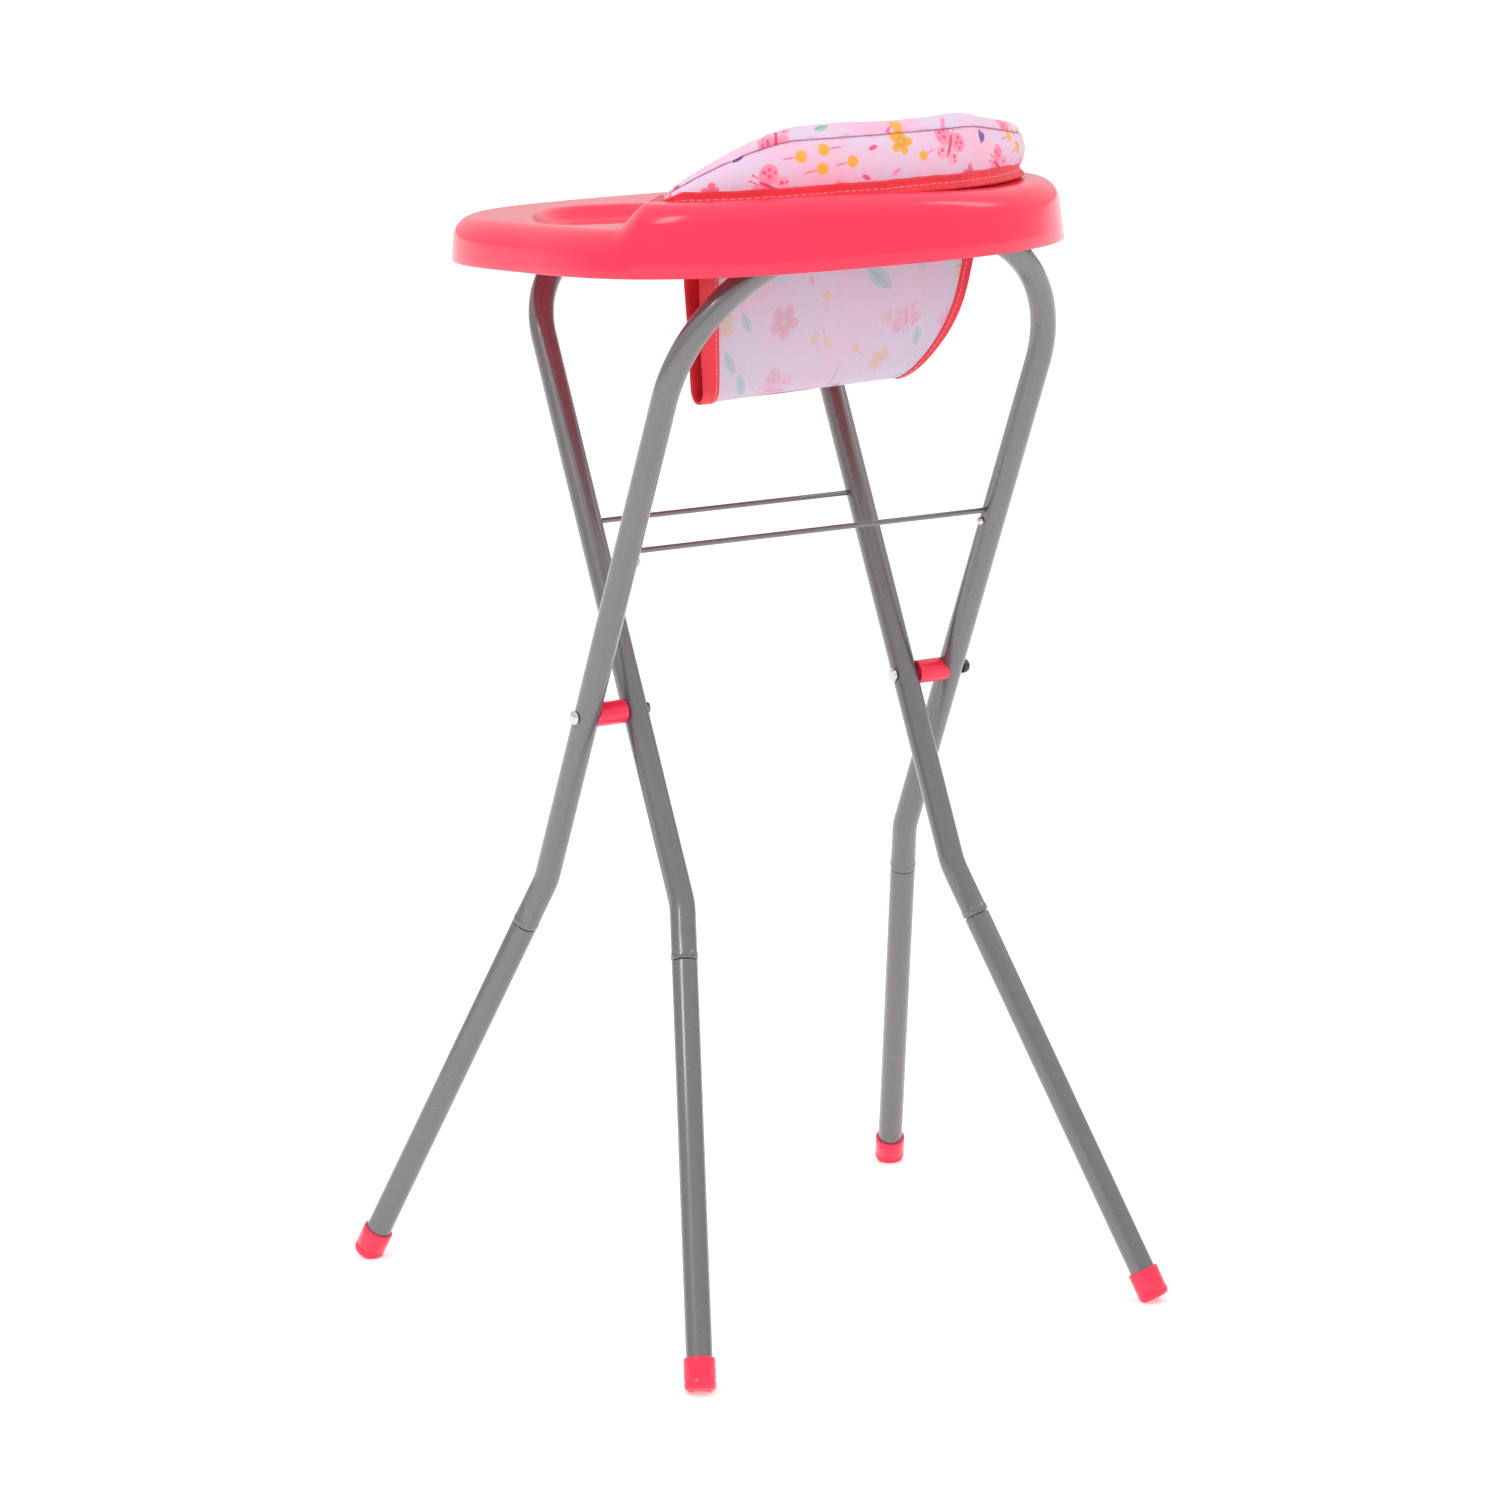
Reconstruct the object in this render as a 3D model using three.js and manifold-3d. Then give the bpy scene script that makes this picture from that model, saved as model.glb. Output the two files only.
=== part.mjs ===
// A doll's changing table: two folding steel tube frames crossed as an X, and a moulded tray with a padded
// changing mat on top and a fabric storage sling below. Millimetres, +Z up. X runs along the pivot axis,
// +Y is the back, and the origin is on the floor, midway between the four feet.
import * as THREE from 'three';
import { mergeVertices } from 'three/addons/utils/BufferGeometryUtils.js';
import Module from 'manifold-3d';

const wasm = await Module();
wasm.setup();

// ---- driving dimensions ----
const GAP = 0.3;                    // between pieces that touch
const DEG = Math.PI / 180;

// both frames: a bent U tube whose legs carry separate lower tubes
const TUBE_R = 8;
const TUBE_BORE_R = 6.8;
const TILT = 25.6 * DEG;            // of each frame from upright
const PIVOT_Z = 375.7;
const KNEE_DROP = 124;              // lower bend below the pivot, along the frame
const KNEE_R = 45;
const SPLAY = 66;                   // how much further out the foot is than the knee
const LEG_REACH = 411;              // pivot to foot along the frame
const SEAM = 30;                    // upper tube's length below the knee
const OUTER = { half: 132, bend: 104, top: 332 };
const INNER = { half: 98, bend: 62, top: 303 };
const PLUG = 24;                    // lower tube's neck inside the upper tube
const PLUG_R = TUBE_BORE_R - GAP;
const PLUG_BORE_R = 5.2;
const WIRE_UP = 120.5;              // cross wire above the pivot, along the frame
const WIRE_R = 1.7;

// foot caps
const CAP_R = 9.6;
const CAP_SLEEVE = 16;
const CAP_END = 3.4;
const CAP_CHAMFER = 1.6;

// pivots
const RIVET_R = 2.5;
const SPACER_R = 7.4;

// tray: an oval moulding, lower around its side basin, standing slightly down at the back
const TRAY = { left: 177, right: 182, depth: 166, x: 2, z: 650, tilt: 3 * DEG };
const LEFT_POWER = 3.2;             // superellipse powers: a squarer left end and a rounder right one
const RIGHT_POWER = 2.1;
const LOW_RIM = 28;                 // rim height around the side basin
const HIGH_RIM = 43;                // rim height around the mat
const WALL = 2.4;
const RIM_ROUND = 13;
const DRAFT = 0.022;                // how much smaller the moulding is at its top
const MAT_FLOOR = 38;
const MAT_RECESS = { inset: 22, fromStep: 18 };
const BASIN_FLOOR = 19;
const BASIN = { x: -98, y: 26, halfX: 42, halfY: 80, turn: -30 * DEG, squareness: 0.72 };
const STEP_FRONT = [-162, -96];     // foot of the step between the two heights, at the front rim
const STEP_BACK = [44, 168];        // and at the back rim
const RAMP = 15;                    // run of that step

// clips that hold the top bars, in tray coordinates
const CLIP = { x: 16, width: 16, crown: 3, cheek: 4 };

// changing mat: raised padded sides around a low middle, and its left side runs along the tray's step
const MAT = { inset: 26, fromStep: 24, base: MAT_FLOOR + 0.4, side: 40, middle: 12, round: 9 };
const SIDE_WIDTH = 30;
const SIDE_RISE = [30, 105];        // past the step, where the sides start to rise and reach full height
const SIDE_BACK = [-40, 110];       // where along Y they start to fall, and reach their back height
const SIDE_RIGHT = [60, 150];       // where along X they start to fall, and reach their right height
const LEFT_SHARE = 0.22;            // of the side's height along the step
const BACK_SHARE = 0.45;            // of the side's height left at the back
const RIGHT_SHARE = 0.72;           // of the side's height left at the right
const BAND = { height: 5, out: 3 };

// storage sling, a narrow U of cloth that hangs from two ribs under the tray
const SLING = { x: -14, front: -112, back: -92, top: 31, drop: 113, half: 97, cloth: 1.6 };
const SLING_NARROW = 0.24;          // share of its width lost at the bottom
const SLING_LEAN = 36;              // how far back its bottom hangs from its top
const HEM = 12.5;
const RIB = { thick: 2.4, deep: 14, half: 88, off: 1.8 };

// ---- materials ----
const finish = (color, roughness, metalness = 0) => (
  new THREE.MeshStandardMaterial({ color, roughness, metalness })
);
const greyPaint = () => finish(0x7b7b7b, 0.35, 0.5);
const pinkPlastic = () => finish(0xff4d6d, 0.25);
const steel = () => finish(0xb8b8bc, 0.25, 1);
const darkSteel = () => finish(0x34343a, 0.4, 0.8);
const printedCloth = () => finish(0xf0d8ea, 0.9);
const redBinding = () => finish(0xf2323e, 0.85);

// ---- solids ----
function solid(geometry) {
  const bare = new THREE.BufferGeometry();
  bare.setAttribute('position', geometry.getAttribute('position').clone());
  if (geometry.index) bare.setIndex(geometry.index.clone());
  const merged = mergeVertices(bare, 1e-4);
  const corners = merged.index.array;
  const kept = [];
  for (let i = 0; i < corners.length; i += 3) {
    const [a, b, c] = [corners[i], corners[i + 1], corners[i + 2]];
    if (a !== b && b !== c && c !== a) kept.push(a, b, c);
  }
  return new wasm.Manifold(new wasm.Mesh({
    numProp: 3,
    vertProperties: new Float32Array(merged.getAttribute('position').array),
    triVerts: new Uint32Array(kept),
  }));
}

function surface(body) {
  const mesh = body.getMesh();
  const geometry = new THREE.BufferGeometry();
  geometry.setAttribute('position', new THREE.BufferAttribute(new Float32Array(mesh.vertProperties), 3));
  geometry.setIndex([...mesh.triVerts]);
  geometry.computeVertexNormals();
  return geometry;
}

function piece(name, geometry, material, parent) {
  const mesh = new THREE.Mesh(geometry, material);
  mesh.name = name;
  parent.add(mesh);
  return mesh;
}

// a rod, or a hole to cut, along X from x0 to x1
function rodX(radius, x0, x1, y, z, sides = 16) {
  const rod = new THREE.CylinderGeometry(radius, radius, x1 - x0, sides);
  rod.rotateZ(Math.PI / 2);
  rod.translate((x0 + x1) / 2, y, z);
  return rod;
}

function latheX(profile, sides = 20) {
  const turned = new THREE.LatheGeometry(profile.map(([r, a]) => new THREE.Vector2(r, a)), sides);
  turned.rotateZ(-Math.PI / 2);
  return turned;
}

// ---- tube frames ----
// A path that visits given stations, each with its own tangent, so straight runs take one step.
class StationPath extends THREE.Curve {
  constructor(stations) {
    super();
    this.stations = stations;
  }

  station(u) {
    return this.stations[Math.round(u * (this.stations.length - 1))];
  }

  getPoint(u) { return this.station(u).point.clone(); }

  getPointAt(u) { return this.getPoint(u); }

  getTangent(u) { return this.station(u).tangent.clone(); }

  getTangentAt(u) { return this.getTangent(u); }
}

const splayAngle = Math.atan2(SPLAY, LEG_REACH - KNEE_DROP);

// The left half of a U in its own plane: up from the seam, round the knee, up the leg and round the bend.
function uStations({ half, bend, top }) {
  const stations = [];
  const add = (x, z, angle) => stations.push({
    point: new THREE.Vector3(x, 0, z),
    tangent: new THREE.Vector3(Math.sin(angle), 0, Math.cos(angle)),
  });
  const kneeRun = KNEE_R * Math.tan(splayAngle / 2);
  const below = kneeRun + SEAM;
  add(-half - below * Math.sin(splayAngle), -KNEE_DROP - below * Math.cos(splayAngle), splayAngle);
  const kneeSteps = 4;
  for (let i = 0; i <= kneeSteps; i += 1) {
    const angle = splayAngle * (1 - i / kneeSteps);
    add(-half - KNEE_R * (1 - Math.cos(angle)), -KNEE_DROP + kneeRun - KNEE_R * Math.sin(angle), angle);
  }
  const bendSteps = 10;
  for (let i = 0; i <= bendSteps; i += 1) {
    const angle = (i / bendSteps) * Math.PI / 2;
    add(-half + bend * (1 - Math.cos(angle)), top - bend + bend * Math.sin(angle), angle);
  }
  const right = stations.map(({ point, tangent }) => ({
    point: new THREE.Vector3(-point.x, 0, point.z),
    tangent: new THREE.Vector3(tangent.x, 0, -tangent.z),
  })).reverse();
  return [...stations, ...right];
}

function ring(outerRadius, innerRadius, sides) {
  const shape = new THREE.Shape();
  const hole = new THREE.Path();
  for (let i = 0; i < sides; i += 1) {
    const angle = (i + 0.5) / sides * 2 * Math.PI;
    const [c, s] = [Math.cos(angle), Math.sin(angle)];
    (i ? shape.lineTo : shape.moveTo).call(shape, outerRadius * c, outerRadius * s);
    (i ? hole.lineTo : hole.moveTo).call(hole, innerRadius * c, innerRadius * s);
  }
  shape.holes.push(hole);
  return shape;
}

function upperFrame(size) {
  const stations = uStations(size);
  const tube = new THREE.ExtrudeGeometry(ring(TUBE_R, TUBE_BORE_R, 16), {
    steps: stations.length - 1,
    extrudePath: new StationPath(stations),
  });
  let body = solid(tube);
  for (const side of [-1, 1]) {
    const across = side * size.half;
    const pivotHole = rodX(RIVET_R + GAP, across - 2 * TUBE_R, across + 2 * TUBE_R, 0, 0);
    const wireHole = rodX(WIRE_R + 0.5, Math.min(across, 0), Math.max(across, 0), 0, WIRE_UP, 12);
    body = body.subtract(solid(pivotHole)).subtract(solid(wireHole));
  }
  return surface(body);
}

// foot of a leg, and the direction that its lower tube runs, in the frame's plane
function legAxis({ half }, side) {
  const knee = new THREE.Vector3(side * half, 0, -KNEE_DROP);
  const foot = new THREE.Vector3(side * (half + SPLAY), 0, -LEG_REACH);
  return { knee, foot, up: knee.clone().sub(foot).normalize() };
}

// A lower tube with a narrower neck that plugs into the upper tube; its foot end is at 0, and it runs up Z.
function lowerTube(length) {
  const profile = [
    [PLUG_BORE_R, 0], [TUBE_R, 0], [TUBE_R, length - 1], [TUBE_R - 0.6, length],
    [PLUG_R, length], [PLUG_R, length + PLUG], [PLUG_BORE_R, length + PLUG], [PLUG_BORE_R, 0],
  ].map(([r, z]) => new THREE.Vector2(r, z));
  const tube = new THREE.LatheGeometry(profile, 20);
  tube.rotateX(Math.PI / 2);
  return tube;
}

// A foot cap: a sleeve over the tube's end, closed below and chamfered.
function footCap() {
  const inside = TUBE_R + GAP;
  const profile = [
    [0, -CAP_END], [CAP_R - CAP_CHAMFER - 1, -CAP_END], [CAP_R - 0.6, -CAP_END + CAP_CHAMFER * 0.7],
    [CAP_R, -CAP_END + CAP_CHAMFER * 1.6], [CAP_R, CAP_SLEEVE - 0.6], [CAP_R - 0.6, CAP_SLEEVE],
    [inside, CAP_SLEEVE], [inside, -GAP], [0, -GAP],
  ].map(([r, z]) => new THREE.Vector2(r, z));
  const cap = new THREE.LatheGeometry(profile, 24);
  cap.rotateX(Math.PI / 2);
  return cap;
}

const UP = new THREE.Vector3(0, 0, 1);

// A frame stands in a group at the pivot, turned about X.
function frameGroup(lean) {
  const group = new THREE.Group();
  group.position.z = PIVOT_Z;
  group.rotation.x = lean;
  group.updateMatrixWorld(true);
  return group;
}

function addLegs(prefix, size, group) {
  for (const [side, hand] of [[-1, 'left'], [1, 'right']]) {
    const { knee, foot, up } = legAxis(size, side);
    const length = foot.distanceTo(knee) - KNEE_R * Math.tan(splayAngle / 2) - SEAM - GAP;
    const turn = new THREE.Quaternion().setFromUnitVectors(UP, up);
    const leg = piece(`${prefix}_lower_leg_${hand}`, lowerTube(length), greyPaint(), group);
    leg.position.copy(foot);
    leg.quaternion.copy(turn);

    // the cap is worn flat where it meets the floor
    const placed = footCap();
    placed.applyMatrix4(new THREE.Matrix4().compose(foot, turn, new THREE.Vector3(1, 1, 1)));
    placed.applyMatrix4(group.matrixWorld);
    const floor = new THREE.BoxGeometry(60, 60, 20);
    const centre = foot.clone().applyMatrix4(group.matrixWorld);
    floor.translate(centre.x, centre.y, -10);
    const trimmed = surface(solid(placed).subtract(solid(floor)));
    piece(`${prefix}_foot_cap_${hand}`, trimmed, pinkPlastic(), table);
  }
}

const table = new THREE.Group();
const outerGroup = frameGroup(TILT);
const innerGroup = frameGroup(-TILT);
table.add(outerGroup, innerGroup);

piece('outer_upper_frame', upperFrame(OUTER), greyPaint(), outerGroup);
piece('inner_upper_frame', upperFrame(INNER), greyPaint(), innerGroup);
addLegs('outer', OUTER, outerGroup);
addLegs('inner', INNER, innerGroup);

// cross wires, their ends inside the tubes
for (const [prefix, size, group] of [['outer', OUTER, outerGroup], ['inner', INNER, innerGroup]]) {
  const reach = size.half - 1;
  piece(`${prefix}_cross_wire`, rodX(WIRE_R, -reach, reach, 0, WIRE_UP, 12), greyPaint(), group);
}

// screws on the inner faces of the outer legs, just below the wire's ends
const SCREW = { radius: 2.7, flange: 0.8, dome: 1.7, below: 8 };
for (const [side, hand] of [[-1, 'left'], [1, 'right']]) {
  const profile = [[0, -SCREW.flange], [SCREW.radius, -SCREW.flange]];
  const steps = 5;
  for (let i = 0; i <= steps; i += 1) {
    const angle = (i / steps) * Math.PI / 2;
    profile.push([i === steps ? 0 : SCREW.radius * Math.cos(angle), SCREW.dome * Math.sin(angle)]);
  }
  const head = new THREE.LatheGeometry(profile.map(([r, y]) => new THREE.Vector2(r, y)), 16);
  head.rotateZ(side * Math.PI / 2);
  const across = side * (OUTER.half - TUBE_R - GAP - SCREW.flange);
  head.translate(across, 0, WIRE_UP - SCREW.below);
  piece(`wire_screw_${hand}`, head, steel(), outerGroup);
}

// pivots: a rivet on the left, a bolt with a cap nut on the right, each with a spacer between the tubes
const between = [INNER.half + TUBE_R, OUTER.half - TUBE_R];
function spacer(side) {
  const rod = solid(rodX(SPACER_R, INNER.half + TUBE_R + GAP, OUTER.half, 0, 0, 20));
  const saddle = new THREE.CylinderGeometry(TUBE_R + GAP, TUBE_R + GAP, 60, 24);
  saddle.rotateX(Math.PI / 2);
  saddle.translate(OUTER.half, 0, 0);
  const bore = rodX(RIVET_R + GAP, between[0] - 20, between[1] + 20, 0, 0);
  const geometry = surface(rod.subtract(solid(saddle)).subtract(solid(bore)));
  if (side < 0) geometry.rotateZ(Math.PI);
  return geometry;
}

// a dome-headed rivet along X, its head at the outside
function rivet() {
  const inner = INNER.half - TUBE_R - GAP;
  const outer = OUTER.half + TUBE_R + GAP;
  const profile = [[0, inner - 1.4], [RIVET_R + 0.9, inner - 1.4], [RIVET_R + 1.4, inner - 0.7],
    [RIVET_R + 1.4, inner], [RIVET_R, inner], [RIVET_R, outer], [RIVET_R + 2, outer],
    [RIVET_R + 1.8, outer + 0.9], [RIVET_R + 0.8, outer + 1.8], [0, outer + 2.3]];
  return latheX(profile);
}

const NUT_BORE_R = RIVET_R + GAP;
function bolt() {
  const inner = INNER.half - TUBE_R - GAP;
  const outer = OUTER.half + TUBE_R + GAP;
  const profile = [[0, inner - 2], [RIVET_R + 1, inner - 1.8], [RIVET_R + 2, inner - 0.8],
    [RIVET_R + 2, inner], [RIVET_R, inner], [RIVET_R, outer + 3], [0, outer + 3]];
  return latheX(profile);
}

function capNut() {
  const start = OUTER.half + TUBE_R + GAP;
  const profile = [[NUT_BORE_R, start], [4.6, start], [4.6, start + 2.4], [3.9, start + 4.2],
    [2.2, start + 5.4], [0, start + 5.8], [0, start + 3 + GAP], [NUT_BORE_R, start + 3 + GAP],
    [NUT_BORE_R, start]];
  return latheX(profile);
}

for (const [side, hand] of [[-1, 'left'], [1, 'right']]) {
  piece(`pivot_spacer_${hand}`, spacer(side), pinkPlastic(), outerGroup);
}
const leftRivet = rivet();
leftRivet.rotateZ(Math.PI);
piece('pivot_rivet_left', leftRivet, steel(), outerGroup);
piece('pivot_bolt_right', bolt(), steel(), outerGroup);
piece('pivot_cap_nut_right', capNut(), darkSteel(), outerGroup);

// ---- tray ----
const tray = new THREE.Group();
tray.position.z = TRAY.z;
tray.rotation.x = -TRAY.tilt;
tray.updateMatrixWorld(true);
table.add(tray);

const signedPower = (value, power) => Math.sign(value) * Math.abs(value) ** power;
const FAR = 600;                    // beyond every part of the tray
const hangShare = (z) => (SLING.top - z) / SLING.drop;   // how far down the sling a height is

// A superellipse whose two ends differ.
function trayOutline(inset, points = 72) {
  const outline = [];
  for (let i = 0; i < points; i += 1) {
    const angle = ((i + 0.5) / points) * 2 * Math.PI;
    const [c, s] = [Math.cos(angle), Math.sin(angle)];
    const [reach, power] = c < 0 ? [TRAY.left, LEFT_POWER] : [TRAY.right, RIGHT_POWER];
    outline.push(new THREE.Vector2(
      TRAY.x + (reach - inset) * signedPower(c, 2 / power),
      (TRAY.depth - inset) * signedPower(s, 2 / power),
    ));
  }
  return outline;
}

// An outline extruded from z0 to z1, its top edge rounded and its sides drawn in towards the top.
function moulding(outline, z0, z1, round = 0, draft = DRAFT) {
  const geometry = new THREE.ExtrudeGeometry(new THREE.Shape(outline), {
    depth: z1 - z0,
    bevelEnabled: round > 0,
    bevelThickness: round,
    bevelSize: round,
    bevelOffset: -round,
    bevelSegments: 4,
    steps: 1,
  });
  geometry.translate(0, 0, z0);
  const position = geometry.getAttribute('position');
  for (let i = 0; i < position.count; i += 1) {
    const shrink = 1 - draft * position.getZ(i) / HIGH_RIM;
    position.setX(i, position.getX(i) * shrink);
    position.setY(i, position.getY(i) * shrink);
  }
  return solid(geometry);
}

// how far a place is past the middle line of the step, on the mat's side
function pastStep(x, y) {
  const [fx, fy] = STEP_FRONT;
  const [bx, by] = STEP_BACK;
  const length = Math.hypot(bx - fx, by - fy);
  return ((x - (fx + bx) / 2) * (by - fy) - (y - (fy + by) / 2) * (bx - fx)) / length;
}

// Everything on the mat's side of the step, moved aside by shift; its face has the step's slope.
function matSide(shift) {
  const [fx, fy] = STEP_FRONT;
  const [bx, by] = STEP_BACK;
  const slope = RAMP / (HIGH_RIM - LOW_RIM);
  const at = (z) => shift + (z - LOW_RIM) * slope;
  const [bottom, top] = [-100, 200];
  const profile = new THREE.Shape([
    new THREE.Vector2(at(bottom), bottom), new THREE.Vector2(FAR, bottom),
    new THREE.Vector2(FAR, top), new THREE.Vector2(at(top), top),
  ]);
  const prism = new THREE.ExtrudeGeometry(profile, { depth: FAR * 2, bevelEnabled: false });
  prism.translate(0, 0, -FAR);
  prism.rotateX(Math.PI / 2);
  prism.rotateZ(Math.atan2(by - fy, bx - fx) - Math.PI / 2);
  prism.translate((fx + bx) / 2, (fy + by) / 2, 0);
  return solid(prism);
}

function block(x, y, z, width, depth, height) {
  const box = new THREE.BoxGeometry(width, depth, height);
  box.translate(x, y, z + height / 2);
  return solid(box);
}

// a world point in the tray's own coordinates
const inTray = (x, y, z) => tray.worldToLocal(new THREE.Vector3(x, y, z));
const barAt = ({ top }, side) => inTray(
  0, side * top * Math.sin(TILT), PIVOT_Z + top * Math.cos(TILT),
);
const outerBar = barAt(OUTER, -1);
const innerBar = barAt(INNER, 1);
const clipTop = (bar) => bar.z + TUBE_R + CLIP.crown;

function basinOutline(grow, points = 40) {
  const outline = [];
  for (let i = 0; i < points; i += 1) {
    const angle = ((i + 0.5) / points) * 2 * Math.PI;
    const x = (BASIN.halfX + grow) * signedPower(Math.cos(angle), BASIN.squareness);
    const y = (BASIN.halfY + grow) * signedPower(Math.sin(angle), BASIN.squareness);
    outline.push(new THREE.Vector2(x, y).rotateAround(new THREE.Vector2(), BASIN.turn)
      .add(new THREE.Vector2(BASIN.x, BASIN.y)));
  }
  return outline;
}

function trayBody() {
  const aboveFoot = block(0, 0, 0, FAR, FAR, FAR);
  const low = moulding(trayOutline(0), 0, LOW_RIM - RIM_ROUND, RIM_ROUND);
  const high = moulding(trayOutline(0), 0, HIGH_RIM - RIM_ROUND, RIM_ROUND).intersect(matSide(0));
  const outside = low.add(high).intersect(aboveFoot);
  const roundIn = RIM_ROUND - WALL;
  const lowIn = moulding(trayOutline(WALL), -1, LOW_RIM - WALL - roundIn, roundIn);
  const highIn = moulding(trayOutline(WALL), -1, HIGH_RIM - WALL - roundIn, roundIn)
    .intersect(matSide(WALL + 1));
  const inside = lowIn.add(highIn);
  const over = HIGH_RIM + 20;
  const matRecess = (grow) => moulding(
    trayOutline(MAT_RECESS.inset - grow), MAT_FLOOR - grow, over, 0, 0,
  ).intersect(matSide(MAT_RECESS.fromStep - grow));
  const basin = (grow) => moulding(basinOutline(grow), BASIN_FLOOR - grow, over, 0, 0);
  let body = outside.subtract(inside);
  body = body.add(matRecess(WALL).intersect(outside)).add(basin(WALL).intersect(outside));
  for (const x of [-CLIP.x, CLIP.x]) {
    for (const bar of [outerBar, innerBar]) {
      const boss = block(x, bar.y, clipTop(bar) + GAP, CLIP.width, 2 * (TUBE_R + CLIP.cheek), HIGH_RIM);
      body = body.add(boss.intersect(outside));
    }
  }
  const ribFoot = SLING.top + 1 - RIB.deep;
  const toRib = RIB.thick / 2 + RIB.off;
  for (const y of [SLING.front - toRib, SLING.back + toRib + SLING_LEAN * hangShare(ribFoot)]) {
    const rib = block(SLING.x, y, ribFoot, 2 * RIB.half, RIB.thick, HIGH_RIM);
    body = body.add(rib.intersect(outside));
  }
  return surface(body.subtract(matRecess(0)).subtract(basin(0)));
}

piece('tray', trayBody(), pinkPlastic(), tray);

// Clips: each sits over its bar. The front pair is open below, so that the tray lifts off. The back pair is
// open below and on its front side, because its bar leaves forwards as the frames fold.
function barClip(bar, x, isBack) {
  const half = TUBE_R + CLIP.cheek;
  const wide = CLIP.width + 2;
  const bottom = bar.z - TUBE_R * 0.7;
  const bore = solid(rodX(TUBE_R + GAP, x - wide, x + wide, bar.y, bar.z, 32));
  const mouth = block(x, bar.y, bottom - 1, wide, 2 * (TUBE_R + GAP), bar.z - bottom + 1);
  let clip = block(x, bar.y, bottom, CLIP.width, 2 * half, clipTop(bar) - bottom);
  clip = clip.subtract(bore).subtract(mouth);
  if (isBack) {
    const front = block(x, bar.y - half, bottom - 1, wide, 2 * half, bar.z + TUBE_R + GAP - bottom + 1);
    clip = clip.subtract(front);
  }
  return surface(clip);
}

for (const [x, hand] of [[-CLIP.x, 'left'], [CLIP.x, 'right']]) {
  piece(`front_bar_clip_${hand}`, barClip(outerBar, x, false), pinkPlastic(), tray);
  piece(`back_bar_clip_${hand}`, barClip(innerBar, x, true), pinkPlastic(), tray);
}

// ---- changing mat ----
// height of the padded side, as a share of its greatest, at a place on the tray
function sideShare(x, y) {
  const rise = THREE.MathUtils.smoothstep(pastStep(x, y), ...SIDE_RISE);
  const back = THREE.MathUtils.smoothstep(y, ...SIDE_BACK);
  const right = THREE.MathUtils.smoothstep(x, ...SIDE_RIGHT);
  const { lerp } = THREE.MathUtils;
  return lerp(LEFT_SHARE, 1, rise) * lerp(1, BACK_SHARE, back) * lerp(1, RIGHT_SHARE, right);
}

function matBody() {
  const top = MAT.base + MAT.side;
  const pad = moulding(trayOutline(MAT.inset + BAND.out), MAT.base, top - MAT.round, MAT.round, 0)
    .intersect(matSide(MAT.fromStep + BAND.out));
  const middle = moulding(trayOutline(MAT.inset + SIDE_WIDTH), MAT.base + MAT.middle, top + 20, 0, 0)
    .intersect(matSide(0));
  const body = pad.intersect(block(0, 0, MAT.base, FAR, FAR, FAR)).subtract(middle);
  const geometry = surface(body);
  const position = geometry.getAttribute('position');
  for (let i = 0; i < position.count; i += 1) {
    const share = sideShare(position.getX(i), position.getY(i));
    position.setZ(i, MAT.base + (position.getZ(i) - MAT.base) * share);
  }
  geometry.computeVertexNormals();
  return geometry;
}

function bandBody() {
  const outside = moulding(trayOutline(MAT.inset), MAT.base, MAT.base + BAND.height, 0, 0)
    .intersect(matSide(MAT.fromStep));
  const inside = moulding(trayOutline(MAT.inset + BAND.out - GAP), 0, 100, 0, 0)
    .intersect(matSide(MAT.fromStep + BAND.out - GAP));
  return surface(outside.subtract(inside));
}

piece('changing_mat', matBody(), printedCloth(), tray);
piece('mat_base_band', bandBody(), redBinding(), tray);

// ---- storage sling ----
// The U runs along X. Both panels lean back as they go down, and its ends come in towards the bottom.

function slingSection(offset) {
  const [front, back] = [SLING.front + offset, SLING.back - offset];
  const middle = (front + back) / 2;
  const radius = (back - front) / 2;
  const turnZ = SLING.top - SLING.drop + (SLING.back - SLING.front) / 2;
  const points = [[front, SLING.top]];
  const steps = 8;
  for (let i = 0; i <= steps; i += 1) {
    const angle = Math.PI * (1 + i / steps);
    points.push([middle + radius * Math.cos(angle), turnZ + radius * Math.sin(angle)]);
  }
  points.push([back, SLING.top]);
  return points.map(([y, z]) => new THREE.Vector2(y + SLING_LEAN * hangShare(z), z));
}

// the length of the sling from x0 to x1, as measured at its top
function slingBand(x0, x1, cloth) {
  const outside = slingSection((SLING.cloth - cloth) / 2);
  const inside = slingSection((SLING.cloth + cloth) / 2).reverse();
  const length = 4 * SLING.half;
  const section = new THREE.Shape([...outside, ...inside]);
  const band = new THREE.ExtrudeGeometry(section, { depth: length, bevelEnabled: false });
  band.translate(0, 0, -length / 2);
  // the section was drawn in XY and extruded along Z: turned, it lies in YZ
  band.rotateY(Math.PI / 2);
  band.rotateX(Math.PI / 2);

  const [low, high] = [SLING.top - SLING.drop - 10, SLING.top + 10];
  const at = (x, z) => new THREE.Vector2(SLING.x + x * (1 - SLING_NARROW * hangShare(z)), z);
  const face = new THREE.Shape([at(x0, low), at(x1, low), at(x1, high), at(x0, high)]);
  const slice = new THREE.ExtrudeGeometry(face, { depth: 2 * FAR, bevelEnabled: false });
  slice.translate(0, 0, -FAR);
  slice.rotateX(Math.PI / 2);
  return surface(solid(band).intersect(solid(slice)));
}

const clothHalf = SLING.half - HEM;
piece('storage_sling', slingBand(-clothHalf + GAP, clothHalf - GAP, SLING.cloth), printedCloth(), tray);
piece('sling_binding_left', slingBand(-SLING.half, -clothHalf, SLING.cloth + 0.6), redBinding(), tray);
piece('sling_binding_right', slingBand(clothHalf, SLING.half, SLING.cloth + 0.6), redBinding(), tray);

export default table;
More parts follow.
